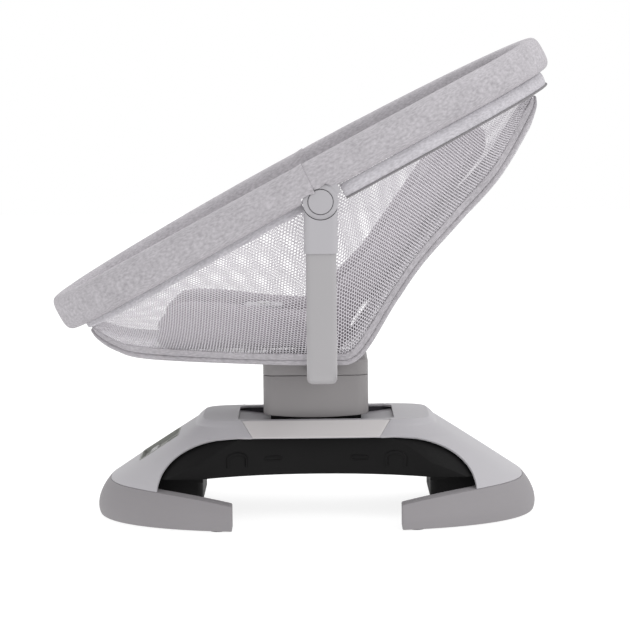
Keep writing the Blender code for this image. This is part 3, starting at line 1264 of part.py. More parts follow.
def build():
    clear_scene()
    light_plastic = material("light_grey_plastic", (0.50, 0.47, 0.48), 0.45)
    band_plastic = material("foot_grey_plastic", (0.37, 0.35, 0.36), 0.60)
    column_plastic = material("taupe_plastic", (0.40, 0.37, 0.37), 0.45)
    black_plastic = material("black_plastic", (0.018, 0.017, 0.018), 0.55)
    panel_plastic = material("panel_plastic", (0.48, 0.49, 0.46), 0.50)
    key_plastic = material("key_plastic", (0.60, 0.60, 0.60), 0.40)
    lens = material("smoked_lens", (0.02, 0.02, 0.025), 0.08)
    rubber = material("rubber", (0.03, 0.03, 0.03), 0.85)
    steel = material("steel", (0.55, 0.55, 0.56), 0.30, 1.0)
    copper = material("copper_winding", (0.70, 0.30, 0.15), 0.35, 1.0)
    board_green = material("circuit_board", (0.02, 0.16, 0.06), 0.45)
    painted = material("painted_arm", (0.42, 0.40, 0.41), 0.40)
    cloth = material("melange_cloth", (0.44, 0.42, 0.45), 0.90)
    mesh_cloth = material("mesh_cloth", (0.60, 0.57, 0.61), 0.85)
    insert_cloth = material("insert_cloth", (0.50, 0.47, 0.50), 0.90)
    webbing = material("webbing", (0.25, 0.24, 0.26), 0.85)

    frame_empty = empty("swing_frame", Vector((0, 0, 0)))
    swing_empty = empty("swing_axis", SWING_AXIS, frame_empty)
    turn_empty = empty("turn_axis", Vector((0, 0, COLUMN_TOP)), swing_empty)
    seat_empty = empty("recline_axis", HUB, turn_empty)

    base_shell(frame_empty, light_plastic)
    foot_bands(frame_empty, band_plastic)
    foot_pads(frame_empty, rubber)
    base_tray(frame_empty, black_plastic)
    leg_housings(frame_empty, black_plastic)
    power_inlet(frame_empty, black_plastic)
    control_panel(frame_empty, panel_plastic, lens, key_plastic)
    swing_deck(frame_empty, light_plastic)
    rails(frame_empty, steel)
    drive_coil(frame_empty, copper)
    main_board(frame_empty, board_green)

    wheelsets(swing_empty, black_plastic)
    carriage(swing_empty, black_plastic, steel)
    column(swing_empty, column_plastic, panel_plastic)

    spindle(turn_empty, steel)
    turret(turn_empty, column_plastic)
    yoke(turn_empty, painted)
    yoke_sleeves(turn_empty, light_plastic)

    ring_tubes(seat_empty, steel)
    hubs(seat_empty, light_plastic, steel)
    padded_rim(seat_empty, cloth)
    head_band(seat_empty, cloth)
    lower_hoop(seat_empty, steel)
    side_meshes(seat_empty, mesh_cloth)
    seat_sling(seat_empty, insert_cloth)
    insert_pads(seat_empty, insert_cloth)
    bolsters(seat_empty, insert_cloth)
    harness(seat_empty, webbing, light_plastic, key_plastic)

    centre_frame(frame_empty)


build()
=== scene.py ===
import json
import math

import bpy
from mathutils import Matrix, Vector, noise


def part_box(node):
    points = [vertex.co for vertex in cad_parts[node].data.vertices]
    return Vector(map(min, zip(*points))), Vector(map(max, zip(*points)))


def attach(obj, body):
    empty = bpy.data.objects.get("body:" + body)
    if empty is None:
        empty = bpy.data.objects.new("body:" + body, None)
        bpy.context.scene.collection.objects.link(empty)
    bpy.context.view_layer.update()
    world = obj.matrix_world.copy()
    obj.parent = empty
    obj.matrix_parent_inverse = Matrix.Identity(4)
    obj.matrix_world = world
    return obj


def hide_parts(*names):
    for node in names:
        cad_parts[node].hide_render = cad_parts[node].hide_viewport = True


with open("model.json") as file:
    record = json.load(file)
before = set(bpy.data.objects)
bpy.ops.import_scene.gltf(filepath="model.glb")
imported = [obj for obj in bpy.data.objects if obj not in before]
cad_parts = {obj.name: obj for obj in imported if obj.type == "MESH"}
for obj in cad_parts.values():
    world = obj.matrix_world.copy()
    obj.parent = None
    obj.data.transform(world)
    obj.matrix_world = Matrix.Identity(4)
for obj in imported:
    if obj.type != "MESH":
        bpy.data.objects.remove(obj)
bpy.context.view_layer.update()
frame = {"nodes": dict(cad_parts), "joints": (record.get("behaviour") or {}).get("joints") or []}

jointAt = {joint["name"]: Vector(joint["pos_m"]) for joint in frame["joints"] if joint.get("pos_m")}
swingAxis = jointAt["swing"]     # centre of the rocking arc
hub = jointAt["recline"]         # middle of the two seat hubs
midX = swingAxis.x               # middle of the base
sides = (("near", -1), ("far", 1))


# Small tools: each object is selected alone before an operator works on it.
def only(*objs):
    if bpy.context.mode != "OBJECT":
        bpy.ops.object.mode_set(mode="OBJECT")
    bpy.ops.object.select_all(action="DESELECT")
    for obj in objs:
        obj.select_set(True)
    if objs:
        bpy.context.view_layer.objects.active = objs[0]


def named(name):
    obj = bpy.context.object
    obj.name = obj.data.name = name
    return obj


def settled(obj):
    only(obj)
    bpy.ops.object.transform_apply(location=True, rotation=True, scale=True)
    return obj


def withModifier(obj, kind, **values):
    modifier = obj.modifiers.new(kind.lower(), kind)
    for key, value in values.items():
        setattr(modifier, key, value)
    only(obj)
    bpy.ops.object.modifier_apply(modifier=modifier.name)
    return obj


def smooth(obj, degrees=35):
    only(obj)
    bpy.ops.object.shade_smooth_by_angle(angle=math.radians(degrees))
    return obj


def rounded(obj, width, segments=3, degrees=40):
    return withModifier(obj, "BEVEL", width=width, segments=segments, limit_method="ANGLE",
                        angle_limit=math.radians(degrees))


def cutWith(obj, *cutters, operation="DIFFERENCE"):
    for cutter in cutters:
        withModifier(obj, "BOOLEAN", object=cutter, operation=operation, solver="EXACT")
        bpy.data.objects.remove(cutter, do_unlink=True)
    return obj


def joined(first, *others):
    name = first.name
    only(first, *others)
    bpy.ops.object.join()
    return named(name)


def cleaned(obj, distance=1e-6, fill=False):
    only(obj)
    bpy.ops.object.mode_set(mode="EDIT")
    bpy.ops.mesh.select_all(action="SELECT")
    bpy.ops.mesh.remove_doubles(threshold=distance)
    if fill:
        bpy.ops.mesh.fill_holes(sides=0)
        bpy.ops.mesh.select_all(action="SELECT")
    bpy.ops.mesh.normals_make_consistent(inside=False)
    bpy.ops.object.mode_set(mode="OBJECT")
    return obj


def mirrored(obj, name):
    only(obj)
    bpy.ops.object.duplicate()
    twin = named(name)
    twin.data.transform(Matrix.Scale(-1, 4, Vector((0, 1, 0))))
    twin.data.flip_normals()
    return twin


def onSide(made, name, side):
    # the near side's piece as it is, or its mirror image for the far side
    if side < 0:
        return made
    twin = mirrored(made, name)
    bpy.data.objects.remove(made, do_unlink=True)
    return twin


def shapedGrid(name, across, along, place, size=(1.0, 1.0), ringed=False, filled=False):
    only()
    bpy.ops.mesh.primitive_grid_add(x_subdivisions=across, y_subdivisions=along, size=1)
    obj = named(name)
    for vertex in obj.data.vertices:
        vertex.co = place(vertex.co.x + 0.5, vertex.co.y + 0.5)
    for loop in obj.data.uv_layers.active.data:
        loop.uv = (loop.uv[0] * size[0], loop.uv[1] * size[1])
    return cleaned(obj, 1e-6, filled) if ringed else obj


def bevelled(obj, picked, offset, segments):
    # ease only the edges whose two ends are picked
    only(obj)
    bpy.ops.object.mode_set(mode="EDIT")
    bpy.ops.mesh.select_mode(type="EDGE")
    bpy.ops.mesh.select_all(action="DESELECT")
    bpy.ops.object.mode_set(mode="OBJECT")
    for line in obj.data.edges:
        line.select = picked(*(obj.data.vertices[i].co for i in line.vertices))
    bpy.ops.object.mode_set(mode="EDIT")
    bpy.ops.mesh.bevel(offset=offset, segments=segments, affect="EDGES")
    bpy.ops.object.mode_set(mode="OBJECT")
    return obj


def block(name, low, high, corner=0.0, edge=0.0, segments=6):
    # a box whose upright edges, and then all edges, can be rounded
    only()
    centre = [(a + b) / 2 for a, b in zip(low, high)]
    bpy.ops.mesh.primitive_cube_add(size=1, location=centre)
    obj = named(name)
    obj.scale = [b - a for a, b in zip(low, high)]
    settled(obj)
    if corner:
        bevelled(obj, lambda a, b: abs(a.z - b.z) > 0.5 * (high[2] - low[2]), corner, segments)
    if edge:
        rounded(obj, edge)
    return obj


def drum(name, radius, low, high, axis="Z", centre=(0.0, 0.0), sideCount=64):
    # a cylinder between two places on the Y or Z axis
    only()
    middle = (low + high) / 2
    upright = axis == "Z"
    bpy.ops.mesh.primitive_cylinder_add(vertices=sideCount, radius=radius, depth=high - low,
                                        location=(*centre, middle) if upright else (centre[0], middle, centre[1]),
                                        rotation=(0, 0, 0) if upright else (math.pi / 2, 0, 0))
    return settled(named(name))


def cadCopy(node, name, edge=0.0):
    only(frame["nodes"][node])
    bpy.ops.object.duplicate()
    obj = named(name)
    obj.parent = None
    for key in list(obj.keys()):
        del obj[key]
    cleaned(obj, 1e-6)
    bpy.ops.object.mode_set(mode="EDIT")
    bpy.ops.mesh.select_all(action="SELECT")
    bpy.ops.mesh.dissolve_limited(angle_limit=math.radians(1))
    bpy.ops.object.mode_set(mode="OBJECT")
    if edge:
        rounded(obj, edge, 2)
    return obj


def tube(name, points, radius, sideCount=12, looped=False):
    # a round or oval rod along points; an oval has two radii
    count = len(points)
    wide, tall = radius if isinstance(radius, tuple) else (radius, radius)
    ahead = [(points[(i + 1) % count if looped else min(i + 1, count - 1)]
              - points[i - 1 if looped or i else 0]).normalized() for i in range(count)]
    side = ahead[0].cross(Vector((0.01, 0.03, 1))).normalized()
    frames = []
    for direction in ahead:
        side = (side - direction * side.dot(direction)).normalized()
        frames.append((side, direction.cross(side)))

    def place(u, v):
        i = round(v * (count if looped else count - 1)) % count
        turn = math.tau * u
        return points[i] + frames[i][0] * (wide * math.cos(turn)) + frames[i][1] * (tall * math.sin(turn))

    length = sum((b - a).length for a, b in zip(points, points[1:]))
    return shapedGrid(name, sideCount, count if looped else count - 1, place, (math.tau * max(wide, tall), length),
                      ringed=True, filled=not looped)


def throughPoints(route, steps):
    ends = [route[0] * 2 - route[1], *route, route[-1] * 2 - route[-2]]
    made = []
    for before, start, end, after in zip(ends, ends[1:], ends[2:], ends[3:]):
        for i in range(steps):
            t = i / steps
            made.append((start * 2 + (end - before) * t + (before * 2 - start * 5 + end * 4 - after) * t * t
                         + (start * 3 - before - end * 3 + after) * t ** 3) / 2)
    return [*made, route[-1]]


def spaced(points, count, looped=False):
    if looped:
        points = [*points, points[0]]
    reach = [0.0]
    for a, b in zip(points, points[1:]):
        reach.append(reach[-1] + (b - a).length)
    made, i = [], 0
    total = count if looped else count - 1
    for k in range(count):
        goal = reach[-1] * k / total
        while i < len(reach) - 2 and reach[i + 1] < goal:
            i += 1
        span = reach[i + 1] - reach[i]
        made.append(points[i].lerp(points[i + 1], (goal - reach[i]) / span if span else 0.0))
    return made


def finished(obj, finish, body, *replaced, slot=None, degrees=35):
    smooth(obj, degrees)
    obj.data.materials.clear()
    obj.data.materials.append(finish)
    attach(obj, body)
    if replaced:
        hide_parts(*replaced)
    return obj


# Finishes. What more than one of them uses is a shader group.
def groupOf(name, inputs, outputs):
    # a shader group from its inputs' first values and its outputs' kinds
    group = bpy.data.node_groups.new(name, "ShaderNodeTree")
    for label, value in inputs.items():
        kind = "NodeSocketColor" if isinstance(value, tuple) else "NodeSocketFloat"
        group.interface.new_socket(label, in_out="INPUT", socket_type=kind).default_value = value
    for label, kind in outputs.items():
        group.interface.new_socket(label, in_out="OUTPUT", socket_type="NodeSocket" + kind)
    return group, group.nodes.new("NodeGroupInput"), group.nodes.new("NodeGroupOutput")


def linked(group, end, **sockets):
    for label, socket in sockets.items():
        group.links.new(socket, end.inputs[label])
    return group


def addNode(tree, kind, links=(), **values):
    node = tree.nodes.new("ShaderNode" + kind)
    for key, value in values.items():
        if hasattr(node, key):
            setattr(node, key, value)
        else:
            node.inputs[key.replace("_", " ")].default_value = value
    for source, target in links:
        tree.links.new(source, node.inputs[target])
    return node


def maths(tree, operation, a, b=None):
    node = tree.nodes.new("ShaderNodeMath")
    node.operation = operation
    for i, value in enumerate((a, b)):
        if value is None:
            continue
        if isinstance(value, (int, float)):
            node.inputs[i].default_value = value
        else:
            tree.links.new(value, node.inputs[i])
    return node.outputs[0]


def mouldedGrain():
    # fine spark texture of moulded plastic, with a slow drift of tone and dust in it
    group, start, end = groupOf("mouldedGrain", {"Color": (0.5, 0.5, 0.5, 1), "Grain Size": 2600.0,
                                                 "Grain Depth": 0.1, "Drift": 0.05, "Roughness": 0.5},
                                {"Color": "Color", "Roughness": "Float", "Normal": "Vector"})
    place = addNode(group, "TexCoord").outputs["Object"]
    fine = addNode(group, "TexNoise", [(place, "Vector"), (start.outputs["Grain Size"], "Scale")], Detail=2.0)
    slow = addNode(group, "TexNoise", [(place, "Vector")], Scale=9.0, Detail=3.0)
    shade = maths(group, "MULTIPLY", maths(group, "SUBTRACT", slow.outputs["Fac"], 0.5), start.outputs["Drift"])
    value = maths(group, "ADD", shade, 1.0)
    bright = addNode(group, "HueSaturation", [(start.outputs["Color"], "Color"), (value, "Value")])
    rough = maths(group, "ADD", start.outputs["Roughness"], maths(group, "MULTIPLY", shade, 2.0))
    bump = addNode(group, "Bump", [(fine.outputs["Fac"], "Height"), (start.outputs["Grain Depth"], "Strength")],
                   Distance=0.0002)
    return linked(group, end, Color=bright.outputs["Color"], Roughness=rough, Normal=bump.outputs["Normal"])


def knitCloth():
    # jersey knit: rows of loops on the UV map, in metres, with mixed light and dark threads
    group, start, end = groupOf("knitCloth", {"Color": (0.5, 0.5, 0.5, 1), "Pitch": 0.0012, "Depth": 0.3,
                                              "Melange": 0.12}, {"Color": "Color", "Normal": "Vector"})
    uv = addNode(group, "TexCoord").outputs["UV"]
    axes = addNode(group, "SeparateXYZ", [(uv, "Vector")])
    wave = []
    for axis in ("X", "Y"):
        turns = maths(group, "DIVIDE", axes.outputs[axis], start.outputs["Pitch"])
        wave.append(maths(group, "SINE", maths(group, "MULTIPLY", turns, math.tau)))
    loops = maths(group, "ADD", maths(group, "MULTIPLY", wave[0], wave[1]), maths(group, "MULTIPLY", wave[1], 0.4))
    thread = addNode(group, "Mapping", [(uv, "Vector")], Scale=(520.0, 170.0, 1.0))
    streak = addNode(group, "TexNoise", [(thread.outputs["Vector"], "Vector")], Scale=1.0, Detail=2.0)
    place = addNode(group, "TexCoord").outputs["Object"]
    cloud = addNode(group, "TexNoise", [(place, "Vector")], Scale=38.0, Detail=4.0)
    drift = [maths(group, "MULTIPLY", maths(group, "SUBTRACT", node.outputs["Fac"], 0.5), weight)
             for node, weight in ((streak, 1.4), (cloud, 0.5))]
    mixed = maths(group, "ADD", *drift)
    value = maths(group, "ADD", maths(group, "MULTIPLY", mixed, start.outputs["Melange"]), 1.0)
    deeper = maths(group, "ADD", value, maths(group, "MULTIPLY", loops, 0.025))
    bright = addNode(group, "HueSaturation", [(start.outputs["Color"], "Color"), (deeper, "Value")])
    bump = addNode(group, "Bump", [(maths(group, "ADD", loops, cloud.outputs["Fac"]), "Height"),
                                   (start.outputs["Depth"], "Strength")], Distance=0.0003)
    return linked(group, end, Color=bright.outputs["Color"], Normal=bump.outputs["Normal"])


def netHoles():
    # staggered rows of oval holes on the UV map, in metres: 1 is thread and 0 is hole
    group, start, end = groupOf("netHoles", {"Pitch": 0.003, "Hole": 0.4}, {"Thread": "Float", "Normal": "Vector"})
    rowShare, stretch, sharp = 0.577, 1.55, 14.0
    axes = addNode(group, "SeparateXYZ", [(addNode(group, "TexCoord").outputs["UV"], "Vector")])
    x = maths(group, "DIVIDE", axes.outputs["X"], start.outputs["Pitch"])
    y = maths(group, "DIVIDE", axes.outputs["Y"], start.outputs["Pitch"])

    def fromCentre(place, shift):
        return maths(group, "SUBTRACT", maths(group, "FRACT", maths(group, "ADD", place, shift)), 0.5)

    near = []
    for shift in (0.0, 0.5):
        dx = fromCentre(x, shift)
        dy = maths(group, "MULTIPLY", fromCentre(maths(group, "MULTIPLY", y, rowShare), shift), stretch)
        square = maths(group, "ADD", maths(group, "MULTIPLY", dx, dx), maths(group, "MULTIPLY", dy, dy))
        near.append(maths(group, "SQRT", square))
    reach = maths(group, "MINIMUM", *near)
    soft = maths(group, "MULTIPLY", maths(group, "SUBTRACT", reach, start.outputs["Hole"]), sharp)
    thread = maths(group, "MINIMUM", maths(group, "MAXIMUM", soft, 0.0), 1.0)
    bump = addNode(group, "Bump", [(thread, "Height")], Strength=0.6, Distance=0.0004)
    return linked(group, end, Thread=thread, Normal=bump.outputs["Normal"])


groups = {"grain": mouldedGrain(), "knit": knitCloth(), "net": netHoles()}


def newFinish(name, metallic=0.0, specular=0.5, sheen=0.0, coat=0.0):
    made = bpy.data.materials.new(name)
    made.use_nodes = True
    shader = made.node_tree.nodes["Principled BSDF"]
    shader.inputs["Metallic"].default_value = metallic
    shader.inputs["Specular IOR Level"].default_value = specular
    shader.inputs["Sheen Weight"].default_value = sheen
    shader.inputs["Sheen Roughness"].default_value = 0.5
    shader.inputs["Coat Weight"].default_value = coat
    return made, made.node_tree, shader


def groupNode(tree, group, **values):
    node = tree.nodes.new("ShaderNodeGroup")
    node.node_tree = groups[group]
    for key, value in values.items():
        node.inputs[key.replace("_", " ")].default_value = value
    return node


def moulded(name, color, roughness=0.5, grain=0.12, size=2600.0, drift=0.05, metallic=0.0, specular=0.4, coat=0.0):
    made, tree, shader = newFinish(name, metallic, specular, coat=coat)
    node = groupNode(tree, "grain", Color=(*color, 1), Grain_Size=size, Grain_Depth=grain, Drift=drift,
                     Roughness=roughness)
    for label, socket in (("Color", "Base Color"), ("Roughness", "Roughness"), ("Normal", "Normal")):
        tree.links.new(node.outputs[label], shader.inputs[socket])
    return made


def cloth(name, color, pitch=0.0012, depth=0.3, melange=0.12, sheen=0.15, net=None):
    made, tree, shader = newFinish(name, 0.0, 0.15, sheen)
    shader.inputs["Roughness"].default_value = 0.85
    node = groupNode(tree, "knit", Color=(*color, 1), Pitch=pitch, Depth=depth, Melange=melange)
    tree.links.new(node.outputs["Color"], shader.inputs["Base Color"])
    if net:
        holes = groupNode(tree, "net", Pitch=net[0], Hole=net[1])
        tree.links.new(holes.outputs["Thread"], shader.inputs["Alpha"])
        tree.links.new(holes.outputs["Normal"], shader.inputs["Normal"])
    else:
        tree.links.new(node.outputs["Normal"], shader.inputs["Normal"])
    return made


finishes = {
    "shell": moulded("shellPlastic", (0.42, 0.41, 0.43), 0.45),
    # fascia: the shell's plastic painted lighter, a painted highlight for the light on its front-facing slope
    "fascia": moulded("fasciaPaintedHighlightPlastic", (0.54, 0.52, 0.52), 0.48),
    "foot": moulded("footPlastic", (0.26, 0.248, 0.258), 0.6, 0.3, 1500.0, 0.10, specular=0.25),
    "column": moulded("columnPlastic", (0.25, 0.238, 0.24), 0.45),
    "arm": moulded("paintedArm", (0.355, 0.345, 0.355), 0.38, 0.06, 4200.0, specular=0.4),
    "hub": moulded("hubPlastic", (0.395, 0.385, 0.405), 0.42),
    "black": moulded("blackPlastic", (0.007, 0.0068, 0.007), 0.55, 0.2, 1800.0, 0.25, specular=0.12),
    # slot skirt: near-black painted shade for the shadow under the slot's lip
    "liner": moulded("slotSkirtPaintedShade", (0.05, 0.048, 0.055), 0.6, specular=0.2),
    "rubber": moulded("padRubber", (0.012, 0.012, 0.012), 0.85, 0.4, 1200.0, specular=0.2),
    "deck": moulded("deckPlastic", (0.36, 0.35, 0.37), 0.5),
    # panel: its own greenish tint, darkened further as painted shade for the shadow in its recess
    "panel": moulded("panelTintAndPaintedShadePlastic", (0.29, 0.295, 0.275), 0.5, specular=0.25),
    "key": moulded("keyPlastic", (0.52, 0.52, 0.52), 0.4),
    "lens": moulded("smokedLens", (0.01, 0.01, 0.013), 0.12, 0.0, coat=0.4),
    "steel": moulded("bareSteel", (0.45, 0.45, 0.46), 0.3, 0.1, 900.0, metallic=1.0),
    "copper": moulded("copperWinding", (0.62, 0.27, 0.14), 0.35, 0.4, 1600.0, metallic=1.0),
    "board": moulded("circuitBoard", (0.02, 0.16, 0.06), 0.4, 0.1, 700.0, 0.3),
    "rim": cloth("rimJersey", (0.42, 0.402, 0.425), 0.0011, 0.35, 0.60, 0.08),
    "band": cloth("bandJersey", (0.52, 0.505, 0.535), 0.0011, 0.3, 0.55, 0.08),
    "mesh": cloth("sideNet", (0.68, 0.655, 0.69), 0.0008, 0.2, 0.05, 0.05, net=(0.0040, 0.36)),
    "sling": cloth("slingNet", (0.55, 0.53, 0.56), 0.0008, 0.2, 0.05, 0.05, net=(0.0034, 0.24)),
    "insert": cloth("insertJersey", (0.31, 0.285, 0.31), 0.0013, 0.35, 0.16, 0.15),
    "piping": cloth("pipingTape", (0.24, 0.23, 0.24), 0.0008, 0.5, 0.06, 0.05),
    "webbing": cloth("harnessWebbing", (0.14, 0.135, 0.145), 0.0016, 0.9, 0.10, 0.05),
}
print("finishes ready")


# The base: a sloping shell on two foot bands, with a flat top round the swing slot.
base = {
    "crease": (0.268, 0.163, 0.046), "slopeTop": 0.118, "top": (0.146, 0.077, 0.126), "flare": 0.009,
    "foot": (0.284, 0.190, 0.012), "creaseDrop": 0.014, "window": (0.100, 0.202, 0.107), "windowFoot": 0.044,
    "wall": 0.0026, "slot": (0.100, 0.065), "slotCorner": 0.004, "fascia": (0.0945, 0.081), "fasciaStep": 0.0016,
    "seam": 0.0005, "part": 0.0004, "panel": (0.0622, 0.0782, 0.2035), "panelCorner": 0.006, "low": 0.026,
    "bandThickness": 0.038, "bandGap": {"near": 0.106, "far": 0.152}, "columns": 72,
}


def outlineAt(z):
    # half length, half width and squareness of the base at a height
    crease, top, foot = base["crease"], base["top"], base["foot"]
    if z >= base["slopeTop"]:
        share = min(1.0, (z - base["slopeTop"]) / (top[2] - base["slopeTop"]))
        return (top[0] + base["flare"] * (1 - share ** 1.3), top[1] + base["flare"] * (1 - share), 4.8 + 1.2 * share)
    if z >= crease[2]:
        share = (z - crease[2]) / (base["slopeTop"] - crease[2])
        return (crease[0] + (top[0] + base["flare"] - crease[0]) * share,
                crease[1] + (top[1] + base["flare"] - crease[1]) * share, 2.6 + 1.4 * share + 0.8 * share * share)
    if z >= foot[2]:
        share = (z - foot[2]) / (crease[2] - foot[2])
        return foot[0] - 0.016 * share ** 2, foot[1] - 0.027 * share ** 1.5, 2.45 + 0.15 * share
    share = 1 - z / foot[2]
    return foot[0] - 0.003 * share ** 2, foot[1] - 0.002 * share ** 2, 2.45


def sideAt(z, x, inset=0.0):
    # half width of the outline at a height and a place along the base
    length, width, power = outlineAt(z)
    return (width - inset) * (1 - (abs(x) / (length - inset)) ** power) ** (1 / power)


def outlineArc(z, limit, count, end, inset=0.0):
    # equally spaced points of the outline at a height, round one end past a limit in X on each side
    length, width, power = outlineAt(z)
    length, width = length - inset, width - inset
    fine = []
    low, high = (math.acos(min(1.0, edge / length) ** (power / 2)) for edge in limit)
    for i in range(241):
        turn = -low + (low + high) * i / 240
        c, s = math.cos(turn), math.sin(turn)
        fine.append(Vector((end * length * abs(c) ** (2 / power), math.copysign(width * abs(s) ** (2 / power), s), z)))
    return spaced(fine, count)


def creaseAt(x):
    share = max(0.0, (base["crease"][0] - abs(x)) / (base["crease"][0] - base["bandGap"]["near"]))
    return base["crease"][2] - base["creaseDrop"] * share ** 2


def windowAt(z):
    flat, half, top = base["window"]
    rise = min(1.0, max(0.0, (z - base["windowFoot"]) / (top - base["windowFoot"])))
    return flat + (half - flat) * math.sqrt(1 - rise * rise)


def seamAt(share):
    # half length of a fascia from its foot to its top
    return base["fascia"][1] + (base["fascia"][0] - base["fascia"][1]) * share


def atHeight(table, levels, column, heightAt):
    # a point of the outline whose height depends on where it is, found in a few steps
    z = base["crease"][2]
    for _ in range(6):
        row = min(len(levels) - 1.001, max(0.0, (z - levels[0]) / (levels[1] - levels[0])))
        low = int(row)
        point = table[low][column].lerp(table[low + 1][column], row - low)
        z = heightAt(point.x)
    point.z = z
    return point


def slotPoint(point, z):
    # the slot's rounded edge nearest to a point of the outline
    corner, (slotLength, slotWidth) = base["slotCorner"], base["slot"]
    atX, atY = point.x * slotLength / base["top"][0], point.y * slotWidth / base["top"][1]
    x = max(-slotLength + corner, min(slotLength - corner, atX))
    y = max(-slotWidth + corner, min(slotWidth - corner, atY))
    away = Vector((atX - x, atY - y, 0))
    if away.length < 1e-6:
        if abs(y) / slotWidth > abs(x) / slotLength:
            away = Vector((0, math.copysign(1, point.y), 0))
            y = math.copysign(slotWidth - corner, y)
        else:
            away = Vector((math.copysign(1, point.x), 0, 0))
            x = math.copysign(slotLength - corner, x)
    return Vector((x, y, z)) + away.normalized() * corner


def baseShell():
    columns, windowTop, topZ = base["columns"], base["window"][2], base["top"][2]
    levels = [base["low"] + (windowTop - base["low"]) * i / 44 for i in range(45)]
    shift = Vector((midX, 0, 0))
    parts = []
    for end in (-1, 1):
        table = [outlineArc(z, (windowAt(z),) * 2, columns + 1, end) for z in levels]

        def saddle(u, v):
            # between the crease at v = 0 and the window's top at v = 1
            def heightAt(x):
                floor = creaseAt(x) + base["part"]
                return floor + (windowTop - floor) * v

            column = round(u * columns)
            point = atHeight(table, levels, column, heightAt)
            if v == 1.0:
                point = Vector((*table[-1][column].xy, point.z))
            return point + shift

        parts.append(shapedGrid("baseSlope", columns, 30, saddle))

    sideCount = 28

    def ringAround(z):
        # the whole outline at a height, with a step behind each fascia
        seam = seamAt((z - windowTop) / (topZ - windowTop)) + base["seam"]
        ring = []
        for side in (1, -1):
            points = outlineArc(z, (base["window"][0],) * 2, columns + 1, side)
            ring += points if side > 0 else list(reversed(points))
            along = [seam, seam, *(seam - 2 * seam * i / sideCount for i in range(sideCount + 1)), -seam]
            for i, x in enumerate(along):
                depth = 0.0 if i in (0, len(along) - 1) else base["fasciaStep"]
                ring.append(Vector((side * x, side * (sideAt(z, x) - depth), z)))
        return ring

    heights = [windowTop + (base["slopeTop"] - windowTop) * i / 6 for i in range(7)]
    heights += [base["slopeTop"] + (topZ - base["slopeTop"]) * i / 6 for i in range(1, 7)]
    rings = [ringAround(z) for z in heights]
    edge = rings[-1]
    inner = [slotPoint(point, topZ) for point in edge]
    for share in (0.04, 0.3, 0.65, 0.96, 1.0):
        rings.append([a.lerp(b, share) for a, b in zip(edge, inner)])
    count = len(edge)
    parts.append(shapedGrid("baseTop", count, len(rings) - 1,
                            lambda u, v: rings[round(v * (len(rings) - 1))][round(u * count) % count] + shift,
                            ringed=True))
    shell = joined(parts[2], parts[0], parts[1])
    shell.name = shell.data.name = "baseShell"
    cleaned(shell, 2e-5)
    # the open shell's normals are turned out by its top
    if sum(face.normal.z * face.area for face in shell.data.polygons) < 0:
        shell.data.flip_normals()
    withModifier(shell, "SOLIDIFY", thickness=base["wall"], offset=-1.0)
    crease, top = base["crease"], base["top"]
    slope = math.atan2(base["slopeTop"] - crease[2], crease[0] - top[0] - base["flare"])
    length, width, place = base["panel"]
    opening = block("panelOpening", (-length / 2, -width / 2, -0.02), (length / 2, width / 2, 0.02),
                    base["panelCorner"])
    opening.rotation_euler.y = -slope
    opening.location = (midX - place, 0, crease[2] + (crease[0] - place) * math.tan(slope))
    cutWith(shell, settled(opening))
    rounded(shell, 0.0006, 2, 50)
    finished(shell, finishes["shell"], "root", "base_shell", slot="base_plastic", degrees=30)


def fascias():
    windowTop, topZ = base["window"][2], base["top"][2]
    for name, side in sides:
        def front(u, v):
            z = windowTop + 0.0002 + (topZ - windowTop - 0.0003) * v
            x = seamAt(v) * (2 * u - 1)
            return Vector((x + midX, side * sideAt(z, x), z))

        cover = shapedGrid(f"fascia_{name}", 40, 16, front)
        if cover.data.polygons[0].normal.y * side < 0:
            cover.data.flip_normals()
        withModifier(cover, "SOLIDIFY", thickness=0.0014, offset=-1.0, use_even_offset=True)
        rounded(cover, 0.0004, 2, 50)
        # the fascia's finish is the shell plastic with a painted highlight
        finished(cover, finishes["fascia"], "root", f"fascia_{name}", slot="base_plastic")


def footBands():
    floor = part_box("foot_pad_foot_end_near")[1].z + 0.0003
    levels = [floor + (base["crease"][2] - floor) * i / 24 for i in range(25)]
    gaps = [base["bandGap"]["near"], base["bandGap"]["far"]]
    columns, rows = 96, 14
    for label, end in (("foot_end", -1), ("head_end", 1)):
        table = [outlineArc(z, gaps, columns + 1, end) for z in levels]
        inner = outlineArc(base["foot"][2], gaps, columns + 1, end, base["bandThickness"])

        def surface(column, share):
            return atHeight(table, levels, column, lambda x: floor + (creaseAt(x) - base["part"] - floor) * share)

        def band(u, v):
            # round the band's section: up the outside, over the top, down the inside and back under
            column, step = round(v * columns), round(u * (rows + 4)) % (rows + 4)
            if step <= rows:
                point = surface(column, step / rows)
            else:
                top = surface(column, 1.0)
                point = top.lerp(inner[column], (0.12, 1.0, 1.0)[step - rows - 1])
                point.z = (top.z, top.z, floor)[step - rows - 1]
            return point + Vector((midX, 0, 0))

        made = shapedGrid(f"footBand_{label}", rows + 4, columns, band, ringed=True, filled=True)
        rounded(made, 0.0014, 3, 50)
        finished(made, finishes["foot"], "root", f"foot_band_{label}", slot="foot_plastic")


